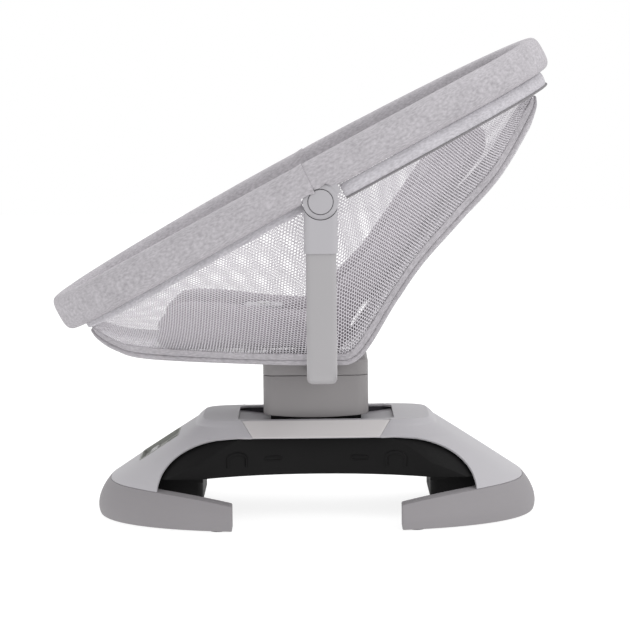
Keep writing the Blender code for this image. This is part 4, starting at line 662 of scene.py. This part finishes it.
def cadPieces():
    # solid pieces whose shape is right already, with their edges eased
    pads = [(f"foot_pad_{end}_end_{side}", "rubber", "root", 0.0003) for end in ("foot", "head") for side, _ in sides]
    for node, finish, body, edge in (
            ("base_tray", "black", "root", 0.0006), ("swing_deck", "deck", "root", 0.0),
            ("leg_housing_foot_end", "black", "root", 0.0008), ("leg_housing_head_end", "black", "root", 0.0008),
            ("power_inlet", "black", "root", 0.0003), ("control_panel", "panel", "root", 0.0004),
            ("display_lens", "lens", "root", 0.0002), ("carriage", "black", "swing_carriage", 0.0006), *pads):
        name = "".join(word.capitalize() if i else word for i, word in enumerate(node.split("_")))
        finished(cadCopy(node, name, edge), finishes[finish], body, node)
    # pieces shown as they are, in their own finish
    for finish, nodes in (("steel", "rail_near rail_far drive_magnet turn_spindle hub_pin_near hub_pin_far "
                                    "ring_tube_foot ring_tube_head"),
                          ("copper", "drive_coil"), ("board", "main_board"), ("key", "turn_bush"),
                          ("black", "wheelset_foot_end wheelset_head_end")):
        for node in nodes.split():
            mesh = frame["nodes"][node].data
            mesh.materials.clear()
            mesh.materials.append(finishes[finish])


tray = {"archX": 0.101, "archWidth": 0.024, "archLow": 0.069, "archHigh": 0.0865, "archFlat": 0.55,
        "archProud": 0.0006, "archBar": (0.0021, 0.0014), "slotX": 0.055, "slotLength": 0.021, "slotHigh": 0.0052,
        "slotZ": 0.078, "slotProud": 0.0004, "slotBar": 0.0009, "wall": (0.078, 0.036, 0.146, 2.2)}


def trayDetails():
    # raised arches and long slots on the black walls inside the side windows
    def onWall(x, z, side, proud):
        narrow, gain, reach, power = tray["wall"]
        return Vector((x + midX, side * (narrow + gain * min(1.0, abs(x) / reach) ** power + proud), z))

    half, reach = tray["archWidth"] / 2, tray["slotHigh"] / 2
    rise = half * tray["archFlat"]
    for label, side in sides:
        for word, end in (("foot", -1), ("head", 1)):
            centre = end * tray["archX"]
            route = [(centre - half, tray["archLow"])]
            for i in range(13):
                turn = math.pi * (1 - i / 12)
                route.append((centre + half * math.cos(turn), tray["archHigh"] - rise + rise * math.sin(turn)))
            route.append((centre + half, tray["archLow"]))
            points = [onWall(x, z, side, tray["archProud"]) for x, z in route]
            arch = tube(f"trayArch_{label}_{word}", spaced(points, 40), tray["archBar"], 10)
            finished(arch, finishes["black"], "root")
            loop = []
            for i in range(24):
                c, s = math.cos(math.tau * i / 24), math.sin(math.tau * i / 24)
                x = end * tray["slotX"] + math.copysign(tray["slotLength"] / 2 - reach, c) + c * reach
                loop.append(onWall(x, tray["slotZ"] + s * reach, side, tray["slotProud"]))
            ring = tube(f"traySlot_{label}_{word}", spaced(loop, 48, True), tray["slotBar"], 8, looped=True)
            finished(ring, finishes["black"], "root")


liner = {"outer": 0.0035, "inner": 0.0008, "corner": 0.006, "innerCorner": 0.004, "lift": 0.004, "seam": 0.0001}


def slotShadeSkirt():
    # skirt under the slot's lip, down to the deck; its near-black colour is painted shade for the shadow under the lip
    low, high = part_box("swing_deck")[0].z + liner["lift"], base["top"][2] - base["wall"] - liner["seam"]
    length, width = base["slot"]
    made, hole = (block(name, (midX - length - grow, -width - grow, low - over),
                        (midX + length + grow, width + grow, high + over), corner)
                  for name, grow, over, corner in (("slotShadeSkirt", liner["outer"], 0.0, liner["corner"]),
                                                   ("hole", liner["inner"], 0.01, liner["innerCorner"])))
    cutWith(made, hole)
    finished(made, finishes["liner"], "root")


column = {"corner": 0.015, "edge": 0.0012, "bottom": 0.563}


def swingColumn():
    low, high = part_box("column_shell")
    made = block("swingColumn", (low.x, low.y, low.z - 0.01), high, column["corner"], segments=10)
    cutWith(made, drum("arc", column["bottom"], low.y - 0.05, high.y + 0.05, "Y", (swingAxis.x, swingAxis.z), 360),
            operation="INTERSECT")
    rounded(made, column["edge"], 3, 35)
    finished(made, finishes["column"], "swing_carriage", "column_shell", slot="column_plastic", degrees=40)


turret = {"corner": 0.015, "crown": 0.0045, "gateGap": 0.0008, "gateCorner": 0.003}


def turretCap():
    low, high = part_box("turret_cap")
    made = block("turretCap", low, high, turret["corner"], segments=10)
    yokeLow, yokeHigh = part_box("yoke_tube")
    gap, bar = turret["gateGap"], yoke["barDepth"] / 2
    gate = block("gate", (yokeLow.x - gap, low.y - 0.02, yoke["barZ"] - bar - gap),
                 (yokeHigh.x + gap, high.y + 0.02, yoke["barZ"] + bar + gap))
    rounded(gate, turret["gateCorner"], 3)
    bevelled(made, lambda a, b: abs(a.z - high.z) < 1e-5 and abs(b.z - high.z) < 1e-5, turret["crown"], 6)
    cutWith(made, gate)
    rounded(made, 0.0005, 2, 50)
    finished(made, finishes["column"], "yoke", "turret_cap", slot="column_plastic", degrees=40)


yoke = {"width": 0.037, "armDepth": 0.020, "barDepth": 0.015, "barZ": 0.1915, "rise": 0.0035, "step": 0.140,
        "bend": 0.046, "corner": 0.0068}


def roundedLoop(a, b, corner, steps=6):
    # corner points of a rounded rectangle about zero
    loop = []
    for k, (sx, sy) in enumerate(((1, 1), (-1, 1), (-1, -1), (1, -1))):
        for i in range(steps + 1):
            turn = math.pi / 2 * (k + i / steps)
            loop.append((sx * (a / 2 - corner) + corner * math.cos(turn),
                         sy * (b / 2 - corner) + corner * math.sin(turn)))
    return loop


def yokeTube():
    low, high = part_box("yoke_tube")
    half = (high.y - low.y) / 2 - yoke["armDepth"] / 2
    x, bend, barZ = (low.x + high.x) / 2, yoke["bend"], yoke["barZ"] + yoke["rise"]
    path = [(-half, high.z, -math.pi / 2, 0.0)]
    path += [(-half, high.z + (barZ + bend - high.z) * i / 6, -math.pi / 2, 0.0) for i in range(1, 6)]
    for i in range(17):
        turn = math.pi + math.pi / 2 * i / 16
        path.append((-half + bend + bend * math.cos(turn), barZ + bend + bend * math.sin(turn),
                     turn + math.pi / 2, i / 16))
    path.append((-yoke["step"], yoke["barZ"], 0.0, 1.0))
    path += [(-y, z, -heading, share) for y, z, heading, share in reversed(path)]
    count = 28

    def place(u, v):
        y, z, heading, share = path[round(v * (len(path) - 1))]
        depth = yoke["armDepth"] + (yoke["barDepth"] - yoke["armDepth"]) * share
        a, b = roundedLoop(yoke["width"], depth, yoke["corner"])[round(u * count) % count]
        return Vector((x + a, y - b * math.sin(heading), z + b * math.cos(heading)))

    made = shapedGrid("yokeTube", count, len(path) - 1, place, ringed=True, filled=True)
    finished(made, finishes["arm"], "yoke", "yoke_tube", slot="painted_arm", degrees=50)


sleeve = {"corner": 0.008, "lip": 0.0012, "fit": 0.0008, "drop": 0.0085, "round": 0.2352,
          "ear": 0.0185, "earInner": 0.2350, "earDepth": 0.009}


def yokeSleeves():
    low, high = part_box("yoke_sleeve_near")
    centre, ear = (hub.x, hub.z), -sleeve["earInner"]
    for label, side in sides:
        name = f"yokeSleeve_{label}"
        made = block(name, low, (high.x, high.y, hub.z - sleeve["drop"]), sleeve["corner"], segments=8)
        cutWith(made, drum("round", bracket["radius"] + sleeve["fit"], low.y - 0.02, -sleeve["round"], "Y", centre, 96))
        rounded(made, sleeve["lip"], 3, 40)
        cheek = drum("ear", sleeve["ear"], ear, ear + sleeve["earDepth"], "Y", centre, 64)
        rounded(cheek, 0.0006, 2)
        made = onSide(joined(made, cheek), name, side)
        finished(made, finishes["hub"], "yoke", f"yoke_sleeve_{label}", slot="hub_plastic")


bracket = {"radius": 0.0214, "inner": 0.2356, "outer": 0.2450, "groove": 0.00075, "well": 0.0048, "tab": 0.028,
           "tabInset": 0.0008, "tabLow": 0.0018, "tabTop": 0.004, "clamp": 0.0105, "clampHalf": 0.027, "edge": 0.0009}


def hubBrackets():
    inner, outer, centre = bracket["inner"], bracket["outer"], (hub.x, hub.z)
    for label, side in sides:
        name = f"hubBracket_{label}"
        made = drum("bracket", bracket["radius"], -outer, -inner, "Y", centre, 96)
        tab = block("tab", (0, -outer + bracket["tabInset"], -bracket["tabLow"]),
                    (bracket["tab"], -inner, ringHeight(0) - bracket["tabTop"]))
        tab.data.transform(Matrix.Translation(hub) @ Matrix.Rotation(-seat["tilt"], 4, "Y"))
        cutWith(made, tab, operation="UNION")
        cutWith(made, drum("well", button["radius"] + bracket["groove"], -outer - 0.01, -outer + bracket["well"], "Y",
                           centre, 96))
        rounded(made, bracket["edge"], 3, 40)
        thick, half = bracket["clamp"], bracket["clampHalf"]
        clamp = shapedGrid("clamp", 24, 40, lambda u, v: ringAt(turnAt(-half + 2 * half * v),
                           thick * math.cos(math.tau * u), thick * math.sin(math.tau * u)), ringed=True, filled=True)
        made = joined(made, clamp)
        made.name = made.data.name = name
        made = onSide(made, name, side)
        finished(made, finishes["hub"], "seat", f"hub_bracket_{label}", slot="hub_plastic")


button = {"radius": 0.0149, "edge": 0.0011}


def buttons():
    for label, side in sides:
        low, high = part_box(f"recline_button_{label}")
        made = drum(f"reclineButton_{label}", button["radius"], low.y, high.y, "Y", (hub.x, hub.z), 72)
        rounded(made, button["edge"], 4, 40)
        finished(made, finishes["hub"], f"recline_button_{label}_body", f"recline_button_{label}", slot="hub_plastic")
    for word in ("power", "speed", "sound"):
        made = cadCopy(f"key_{word}", f"{word}Key", 0.0003)
        finished(made, finishes["key"], f"key_{word}_body", f"key_{word}", slot="key_plastic")


# The seat lies in a tilted frame through the hubs: along it, across it and up from it.
seat = {"tilt": math.radians(28.1), "length": 0.683, "width": 0.470, "power": 2.15, "shift": -0.0175,
        "rise": 0.022, "arch": 0.007}
seatAlong = Vector((math.cos(seat["tilt"]), 0, math.sin(seat["tilt"])))
seatUp = Vector((-math.sin(seat["tilt"]), 0, math.cos(seat["tilt"])))


def seatPoint(along, y, up):
    return hub + seatAlong * along + seatUp * up + Vector((0, y, 0))


def ringHeight(along):
    share = (along - seat["shift"]) / (seat["length"] / 2)
    return seat["rise"] + seat["arch"] * (1 - share ** 2)


def ringFrame(turn, inset=0.0):
    length, width = seat["length"] / 2 - inset, seat["width"] / 2 - inset
    c, s = math.cos(turn), math.sin(turn)
    bend = 2 / seat["power"]
    along = seat["shift"] - math.copysign(abs(c) ** bend, c) * length
    across = -math.copysign(abs(s) ** bend, s) * width
    out = Vector((-math.copysign(abs(c) ** (2 - bend), c) / length,
                  -math.copysign(abs(s) ** (2 - bend), s) / width))
    return along, across, out.normalized()


def turnAt(along):
    # the ring's angle where it passes a place along the seat, on the near side
    share = (seat["shift"] - along) / (seat["length"] / 2)
    return math.acos(math.copysign(abs(share) ** (seat["power"] / 2), share))


def ringAt(turn, out=0.0, up=0.0, inset=0.0):
    along, across, away = ringFrame(turn, inset)
    return seatPoint(along + away.x * out, across + away.y * out, ringHeight(along) + up)


def evenTurns(start, end, count):
    # angles that space points evenly along the ring
    fine = [start + (end - start) * i / 800 for i in range(801)]
    reach = [0.0]
    for a, b in zip(fine, fine[1:]):
        reach.append(reach[-1] + (ringAt(b) - ringAt(a)).length)
    made, i = [], 0
    for k in range(count):
        goal = reach[-1] * k / (count - 1)
        while i < 799 and reach[i + 1] < goal:
            i += 1
        made.append(fine[i] + (fine[i + 1] - fine[i]) * (goal - reach[i]) / (reach[i + 1] - reach[i]))
    return made, reach[-1]


rim = {"height": 0.043, "swell": 0.008, "depth": 0.028, "seam": -0.0015, "seamGap": 0.0012, "roll": 0.006,
       "crumple": 0.0005, "around": 48, "along": 260, "pocket": 0.0232, "pocketFace": 0.2476}


def rimHeight(along):
    # the padding is taller towards the foot end
    return rim["height"] + rim["swell"] * max(0.0, -along / seat["length"])


def rimSleeves():
    footStart, headStart = turnAt(rim["seam"] + rim["seamGap"]), turnAt(rim["seam"] - rim["seamGap"])
    for label, start, end in (("foot", footStart, -footStart), ("head", headStart, math.tau - headStart)):
        turns, length = evenTurns(start, end, rim["along"] + 1)
        outer = label == "foot"      # the foot sleeve laps over the head sleeve

        def place(u, v):
            row = round(v * rim["along"])
            turn = math.tau * u
            c, s = math.cos(turn), math.sin(turn)
            along, across, away = ringFrame(turns[row])
            out = math.copysign(abs(c) ** 0.55, c) * rim["depth"] / 2
            up = math.copysign(abs(s) ** 0.65, s) * rimHeight(along) / 2
            fromEnd = min(row, rim["along"] - row) / rim["along"] * length
            lap = math.exp(-(fromEnd / rim["roll"]) ** 2)
            grow = 1 + (0.05 if outer else -0.035) * lap
            if fromEnd < 0.0008 and not outer:
                grow *= 0.9
            # soft crumples that run across the sleeve, deeper on the inside of the bends
            at = Vector((row / rim["along"] * length * 26, c * 0.8, s * 1.3 + (7 if outer else 0)))
            crumple = noise.noise(at) * rim["crumple"] * (1.0 - 0.6 * max(0.0, c)) \
                + noise.noise(at * 0.27) * rim["crumple"] * 1.4
            grow -= 0.4 * crumple / rim["depth"]
            slide = 0.0012 * s * (1 if outer else 0) * lap
            reach = out * grow + crumple * 0.4
            return seatPoint(along + away.x * reach + slide, across + away.y * reach, ringHeight(along) + up * grow)

        made = shapedGrid(f"rimSleeve_{label}", rim["around"], rim["along"], place, (0.112, length),
                          ringed=True, filled=True)
        if outer:
            withModifier(made, "BEVEL", width=0.0007, segments=2, limit_method="ANGLE", angle_limit=math.radians(60))
        for side in (-1, 1):
            low, high = sorted((side * rim["pocketFace"], side * (seat["width"] / 2 - 0.030)))
            cutWith(made, drum("pocket", rim["pocket"], low, high, "Y", (hub.x, hub.z), 96))
        finished(made, finishes["rim"], "seat", f"rim_sleeve_{label}", slot="rim_cloth", degrees=60)


def ringStrip(name, start, end, count, inset, gap, depth, thick, puff, rows=10):
    # a flat cloth strip that hangs under the rim and rounds out in the middle
    turns, length = evenTurns(start, end, count + 1)
    loop = []
    for i in range(rows + 1):
        t = i / rows
        loop.append((puff * math.sin(math.pi * t), -depth * t))
    loop += [(-thick, b) for _, b in reversed(loop)]

    def place(u, v):
        a, b = loop[round(u * len(loop)) % len(loop)]
        turn = turns[round(v * count)]
        ripple = noise.noise(Vector((v * length * 30, b * 60, 3))) * 0.0003
        return ringAt(turn, a + ripple, b - gap - rimHeight(ringFrame(turn)[0]) / 2, inset)

    made = shapedGrid(name, len(loop), count, place, (2 * depth, length), ringed=True, filled=True)
    rounded(made, 0.0005, 2, 50)
    return made, length


band = {"start": 0.030, "depth": 0.017, "inset": 0.0030, "gap": 0.0008, "thick": 0.002, "puff": 0.0014,
        "lip": 0.0013, "lipDrop": 0.0012, "hem": 0.009, "hemStart": -0.022, "hemInset": 0.0118, "hemGap": 0.0002,
        "hemPuff": 0.0006, "hemFlat": 0.0105}


def bands():
    start = turnAt(band["start"])
    made, length = ringStrip("headBand", start, math.tau - start, 200, band["inset"], band["gap"], band["depth"],
                             band["thick"], band["puff"])
    finished(made, finishes["band"], "seat", "head_band", slot="band_cloth", degrees=60)
    turns, _ = evenTurns(start, math.tau - start, 201)
    low = -rim["height"] / 2 - band["gap"] - band["depth"] - band["lipDrop"]
    lip = tube("headBandLip", [ringAt(turn, 0.0004, low, band["inset"]) for turn in turns], band["lip"], 10)
    finished(lip, finishes["piping"], "seat")
    hemStart = turnAt(band["hemStart"])
    hem, length = ringStrip("footHem", hemStart, -hemStart, 160, band["hemInset"], band["hemGap"], band["hem"],
                            band["thick"], band["hemPuff"], 6)
    finished(hem, finishes["band"], "seat", degrees=60)


hoop = {"pipe": 0.0036, "band": 0.0085,
        "route": ((-0.288, 0.000, 0.236), (-0.276, 0.046, 0.231), (-0.252, 0.074, 0.2205), (-0.209, 0.098, 0.2125),
                  (-0.066, 0.124, 0.2075), (0.020, 0.126, 0.2060), (0.046, 0.126, 0.2085), (0.066, 0.124, 0.2285),
                  (0.098, 0.117, 0.2800), (0.133, 0.112, 0.3300), (0.180, 0.108, 0.3820), (0.230, 0.100, 0.4360),
                  (0.270, 0.070, 0.4990), (0.281, 0.046, 0.5200), (0.285, 0.000, 0.5310))}


def hoopHalf(side, count):
    route = [Vector((x + midX, side * y, z)) for x, y, z in hoop["route"]]
    return spaced(throughPoints(route, 10), count)


def hoopLoop(count):
    near = hoopHalf(-1, count // 2 + 1)
    return near + [Vector((p.x, -p.y, p.z)) for p in reversed(near[1:-1])]


net = {"inset": 0.0165, "columns": 150, "rows": 26, "waist": 0.006}


def meshPoint(side, share, down):
    # a point of the see-through side: share along the hoop, down from the rim
    half = net["half"]
    index = share * (len(half) - 1)
    low = min(len(half) - 2, int(index))
    point = half[low].lerp(half[low + 1], index - low)
    point.y *= -side
    turn = math.pi * share
    start = ringAt(turn, 0.0, -rim["height"] / 2 + 0.004, net["inset"])
    start.y = side * abs(start.y)
    made = start.lerp(point, down)
    drop = (point - start).length
    slack = net["waist"] * min(1.0, drop / 0.12) * math.sin(math.pi * down)
    ease = noise.noise(Vector((share * 7, down * 3, side))) * 0.0015 * math.sin(math.pi * down)
    made.y -= side * (slack + ease)
    return made


def sideMeshes():
    net["half"] = hoopHalf(-1, 241)
    for label, side in sides:
        made = shapedGrid(f"sideMesh_{label}", net["columns"], net["rows"],
                          lambda u, v: meshPoint(side, u, v), (0.86, 0.21))
        withModifier(made, "SOLIDIFY", thickness=0.0009, offset=0.0)
        finished(made, finishes["mesh"], "seat", f"side_mesh_{label}", slot="mesh_cloth", degrees=60)


def lowerHoop():
    loop = hoopLoop(320)
    pipe = tube("lowerHoop", loop, hoop["pipe"], 14, looped=True)
    finished(pipe, finishes["rim"], "seat", "lower_hoop")
    for label, side in sides:
        half = hoopHalf(side, 221)

        def strip(offset, depth, proud, name, finish):
            def place(u, v):
                i = round(v * 220)
                share = i / 220
                edge, above = half[i], meshPoint(side, share, 0.9)
                upward = (above - edge).normalized()
                ahead = (half[min(220, i + 1)] - half[max(0, i - 1)]).normalized()
                upward = (upward - ahead * upward.dot(ahead)).normalized()
                out = Vector((0, side, 0)) - upward * upward.y * side
                return edge + upward * (offset + depth * u) + out * (proud + 0.0006 * math.sin(math.pi * u))
            made = shapedGrid(name, 6, 220, place, (depth, 0.86))
            withModifier(made, "SOLIDIFY", thickness=0.0011, offset=0.0)
            rounded(made, 0.0003, 2, 50)
            finished(made, finish, "seat", degrees=60)
            return made

        tape = strip(0.0042, hoop["band"], 0.0016, f"hoopTape_{label}", finishes["rim"])


slingShape = {"rise": 0.0035, "bulge": 0.0125, "columns": 28, "rows": 150}


def seatSling():
    half = hoopHalf(-1, slingShape["rows"] + 5)

    def place(u, v):
        i = 2 + round(v * slingShape["rows"])
        ahead = half[min(len(half) - 1, i + 1)] - half[i - 1]
        inward = Vector((-ahead.z, 0, ahead.x)).normalized()
        z = half[i].z
        rise = max(0.0, min(1.0, (z - 0.215) / 0.07)) * max(0.0, min(1.0, (0.56 - z) / 0.06))
        share = 2 * u - 1
        bow = slingShape["rise"] * (1 - share ** 6) - slingShape["bulge"] * rise * (1 - share ** 4)
        sag = noise.noise(Vector((i * 0.06, share * 2, 5))) * 0.0012 * (1 - share ** 2)
        return Vector((half[i].x, share * (abs(half[i].y) - 0.003), z)) + inward * (bow + sag)

    made = shapedGrid("seatSling", slingShape["columns"], slingShape["rows"], place, (0.25, 0.86))
    withModifier(made, "SOLIDIFY", thickness=0.0012, offset=0.0)
    finished(made, finishes["sling"], "seat", "seat_sling", slot="mesh_cloth", degrees=60)


# Stuffed pieces swell from a slightly smaller form, by cloth pressure.
insert = {"voxel": 0.006, "pressure": 4.0, "most": 0.007, "shrink": 0.0035, "sideShrink": 0.003, "frames": 20,
          "spacing": 0.062, "groove": 0.0035, "grooveWidth": 0.006, "backTilt": math.radians(52)}


def swollen(obj, most):
    withModifier(obj, "REMESH", mode="VOXEL", voxel_size=insert["voxel"])
    start = [vertex.co.copy() for vertex in obj.data.vertices]
    soft = obj.modifiers.new("stuffing", "CLOTH")
    soft.settings.use_pressure = True
    soft.settings.uniform_pressure_force = insert["pressure"]
    soft.settings.quality = 5
    soft.settings.mass = 0.15
    soft.settings.effector_weights.gravity = 0.0
    soft.point_cache.frame_start, soft.point_cache.frame_end = 1, insert["frames"]
    for number in range(1, insert["frames"] + 1):
        bpy.context.scene.frame_set(number)
    only(obj)
    bpy.ops.object.modifier_apply(modifier=soft.name)
    bpy.context.scene.frame_set(1)
    for vertex, before in zip(obj.data.vertices, start):
        move = vertex.co - before
        if move.length > most:
            vertex.co = before + move.normalized() * most
    withModifier(obj, "SMOOTH", factor=0.5, iterations=6)
    withModifier(obj, "SUBSURF", levels=1, render_levels=1)
    return obj


def softPad(node, name, shrink):
    # the solid's own form, drawn in all round and then stuffed
    made = cadCopy(node, name)
    withModifier(made, "REMESH", mode="VOXEL", voxel_size=insert["voxel"])
    only(made)
    bpy.ops.object.mode_set(mode="EDIT")
    bpy.ops.mesh.select_all(action="SELECT")
    bpy.ops.transform.shrink_fatten(value=-shrink)
    bpy.ops.object.mode_set(mode="OBJECT")
    return swollen(made, insert["most"])


def channels(obj, origin, along, normal):
    # sewn lines across a pad: narrow grooves in its upper face
    spacing = insert["spacing"]
    for vertex in obj.data.vertices:
        place = (vertex.co - origin).dot(along)
        away = abs((place + spacing / 2) % spacing - spacing / 2)
        facing = max(0.0, vertex.normal.dot(normal))
        vertex.co -= normal * insert["groove"] * facing * math.exp(-(away / insert["grooveWidth"]) ** 2)


backUp = Vector((math.cos(insert["backTilt"]), 0, math.sin(insert["backTilt"])))
backIn = Vector((-backUp.z, 0, backUp.x))


def insertPads():
    for node, name, along, normal in (
            ("insert_seat", "insertSeat", Vector((1, 0, 0)), Vector((0, 0, 1))),
            ("insert_back", "insertBack", backUp, backIn), ("head_pillow", "headPillow", None, None)):
        made = softPad(node, name, insert["shrink"])
        if along:
            channels(made, sum(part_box(node), Vector()) / 2, along, normal)
        finished(made, finishes["insert"], "seat", node, slot="insert_cloth", degrees=80)
    for label, _ in sides:
        made = softPad(f"bolster_{label}", f"bolster_{label}", insert["sideShrink"])
        finished(made, finishes["insert"], "seat", f"bolster_{label}", slot="insert_cloth", degrees=80)


strap = {"width": 0.025, "thick": 0.0016}


def ribbon(name, route, across, width, thick, steps=10):
    # a flat strap along a route, with rolled edges
    points = spaced(throughPoints([Vector(point) for point in route], steps), 40)
    loop = roundedLoop(width, thick, thick * 0.45, 4)

    def place(u, v):
        i = round(v * 39)
        a, b = loop[round(u * len(loop)) % len(loop)]
        ahead = (points[min(39, i + 1)] - points[max(0, i - 1)]).normalized()
        normal = ahead.cross(across).normalized()
        return points[i] + across * a + normal * b

    length = sum((b - a).length for a, b in zip(points, points[1:]))
    return shapedGrid(name, len(loop), 39, place, (2 * width, length), ringed=True, filled=True), length


def harness():
    low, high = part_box("buckle")
    made = block("buckle", low, high, 0.008, 0.0022, 8)
    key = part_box("buckle_key")
    centre = ((low.x + high.x) / 2, 0.0)
    cutWith(made, drum("well", (key[1].x - key[0].x) / 2 + 0.0007, key[0].z - 0.0026, high.z + 0.01, "Z", centre, 64))
    finished(made, finishes["hub"], "seat", "buckle")
    made = drum("buckleKey", (key[1].x - key[0].x) / 2, key[0].z, key[1].z, "Z", centre, 48)
    rounded(made, 0.0009, 3)
    finished(made, finishes["key"], "buckle_key_body", "buckle_key")
    crotchLow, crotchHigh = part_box("crotch_strap")
    t = strap["thick"]
    mid = (low.z + high.z) / 2
    route = ((crotchLow.x, 0, crotchLow.z + t), (crotchLow.x + 0.018, 0, crotchLow.z + 0.004),
             (crotchLow.x + 0.042, 0, mid - 0.005), (low.x - 0.0004, 0, mid))
    made, length = ribbon("crotchStrap", route, Vector((0, 1, 0)), strap["width"], t)
    finished(made, finishes["webbing"], "seat", "crotch_strap", slot="webbing")
    for label, side in sides:
        strapLow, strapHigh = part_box(f"waist_strap_{label}")
        outer = max(abs(strapLow.y), abs(strapHigh.y))
        x = (strapLow.x + strapHigh.x) / 2
        route = ((x, side * (high.y + 0.0004), mid), (x, side * (high.y + 0.018), mid - 0.002),
                 (x, side * (outer - 0.012), mid - 0.0065), (x, side * outer, strapLow.z + t))
        made, length = ribbon(f"waistStrap_{label}", route, Vector((1, 0, 0)), strap["width"], t)
        finished(made, finishes["webbing"], "seat", f"waist_strap_{label}", slot="webbing")


# Light, floor and camera.
view = {"distance": 3.4, "height": 0.6043, "pitch": 5.9, "yaw": 0.0, "roll": -0.6, "lens": 150.2, "floor": 12.0}


def studio():
    only()
    bpy.ops.mesh.primitive_plane_add(size=view["floor"], location=(0, 0, 0))
    floor = named("studioFloor")
    made, tree, shader = newFinish("studioPaper", specular=0.0)
    shader.inputs["Base Color"].default_value = (0.3, 0.3, 0.3, 1)
    shader.inputs["Roughness"].default_value = 0.9
    shader.inputs["Emission Color"].default_value = (1, 1, 1, 1)
    shader.inputs["Emission Strength"].default_value = 0.85
    floor.data.materials.append(made)
    world = bpy.data.worlds.new("studioWorld")
    bpy.context.scene.world = world
    world.use_nodes = True
    sky = world.node_tree.nodes["Background"]
    sky.inputs["Color"].default_value = (1, 1, 1, 1)
    sky.inputs["Strength"].default_value = 1.0
    for name, place, size, power in (("keyLight", (2.2, -1.8, 2.4), 1.8, 20),
                                     ("topLight", (0.6, 0.4, 3.2), 2.4, 26)):
        lamp = bpy.data.lights.new(name, "AREA")
        lamp.size, lamp.energy = size, power
        obj = bpy.data.objects.new(name, lamp)
        bpy.context.scene.collection.objects.link(obj)
        obj.location = place
        obj.rotation_euler = (Vector((0, 0, 0.3)) - Vector(place)).to_track_quat("-Z", "Y").to_euler()
    lens = bpy.data.cameras.new("camera")
    lens.lens, lens.sensor_width = view["lens"], 36
    camera = bpy.data.objects.new("camera", lens)
    bpy.context.scene.collection.objects.link(camera)
    turn = math.radians(view["yaw"])
    camera.location = (midX + view["distance"] * math.sin(turn), -view["distance"] * math.cos(turn), view["height"])
    camera.matrix_world = Matrix.Translation(camera.location) @ Matrix.Rotation(turn, 4, "Z") \
        @ Matrix.Rotation(math.radians(90 - view["pitch"]), 4, "X") \
        @ Matrix.Rotation(math.radians(view["roll"]), 4, "Z")
    bpy.context.scene.camera = camera
    bpy.context.scene.view_settings.view_transform = "Standard"


for label, make in (("studio", studio), ("base shell", baseShell), ("fascias", fascias), ("foot bands", footBands),
                    ("plain parts", cadPieces), ("tray", trayDetails), ("slot", slotShadeSkirt), ("column", swingColumn),
                    ("turret", turretCap), ("yoke", yokeTube), ("sleeves", yokeSleeves), ("hubs", hubBrackets),
                    ("buttons", buttons), ("rim", rimSleeves), ("bands", bands), ("side nets", sideMeshes),
                    ("hoop", lowerHoop), ("sling", seatSling), ("insert", insertPads), ("harness", harness)):
    make()
    print(label, "made")
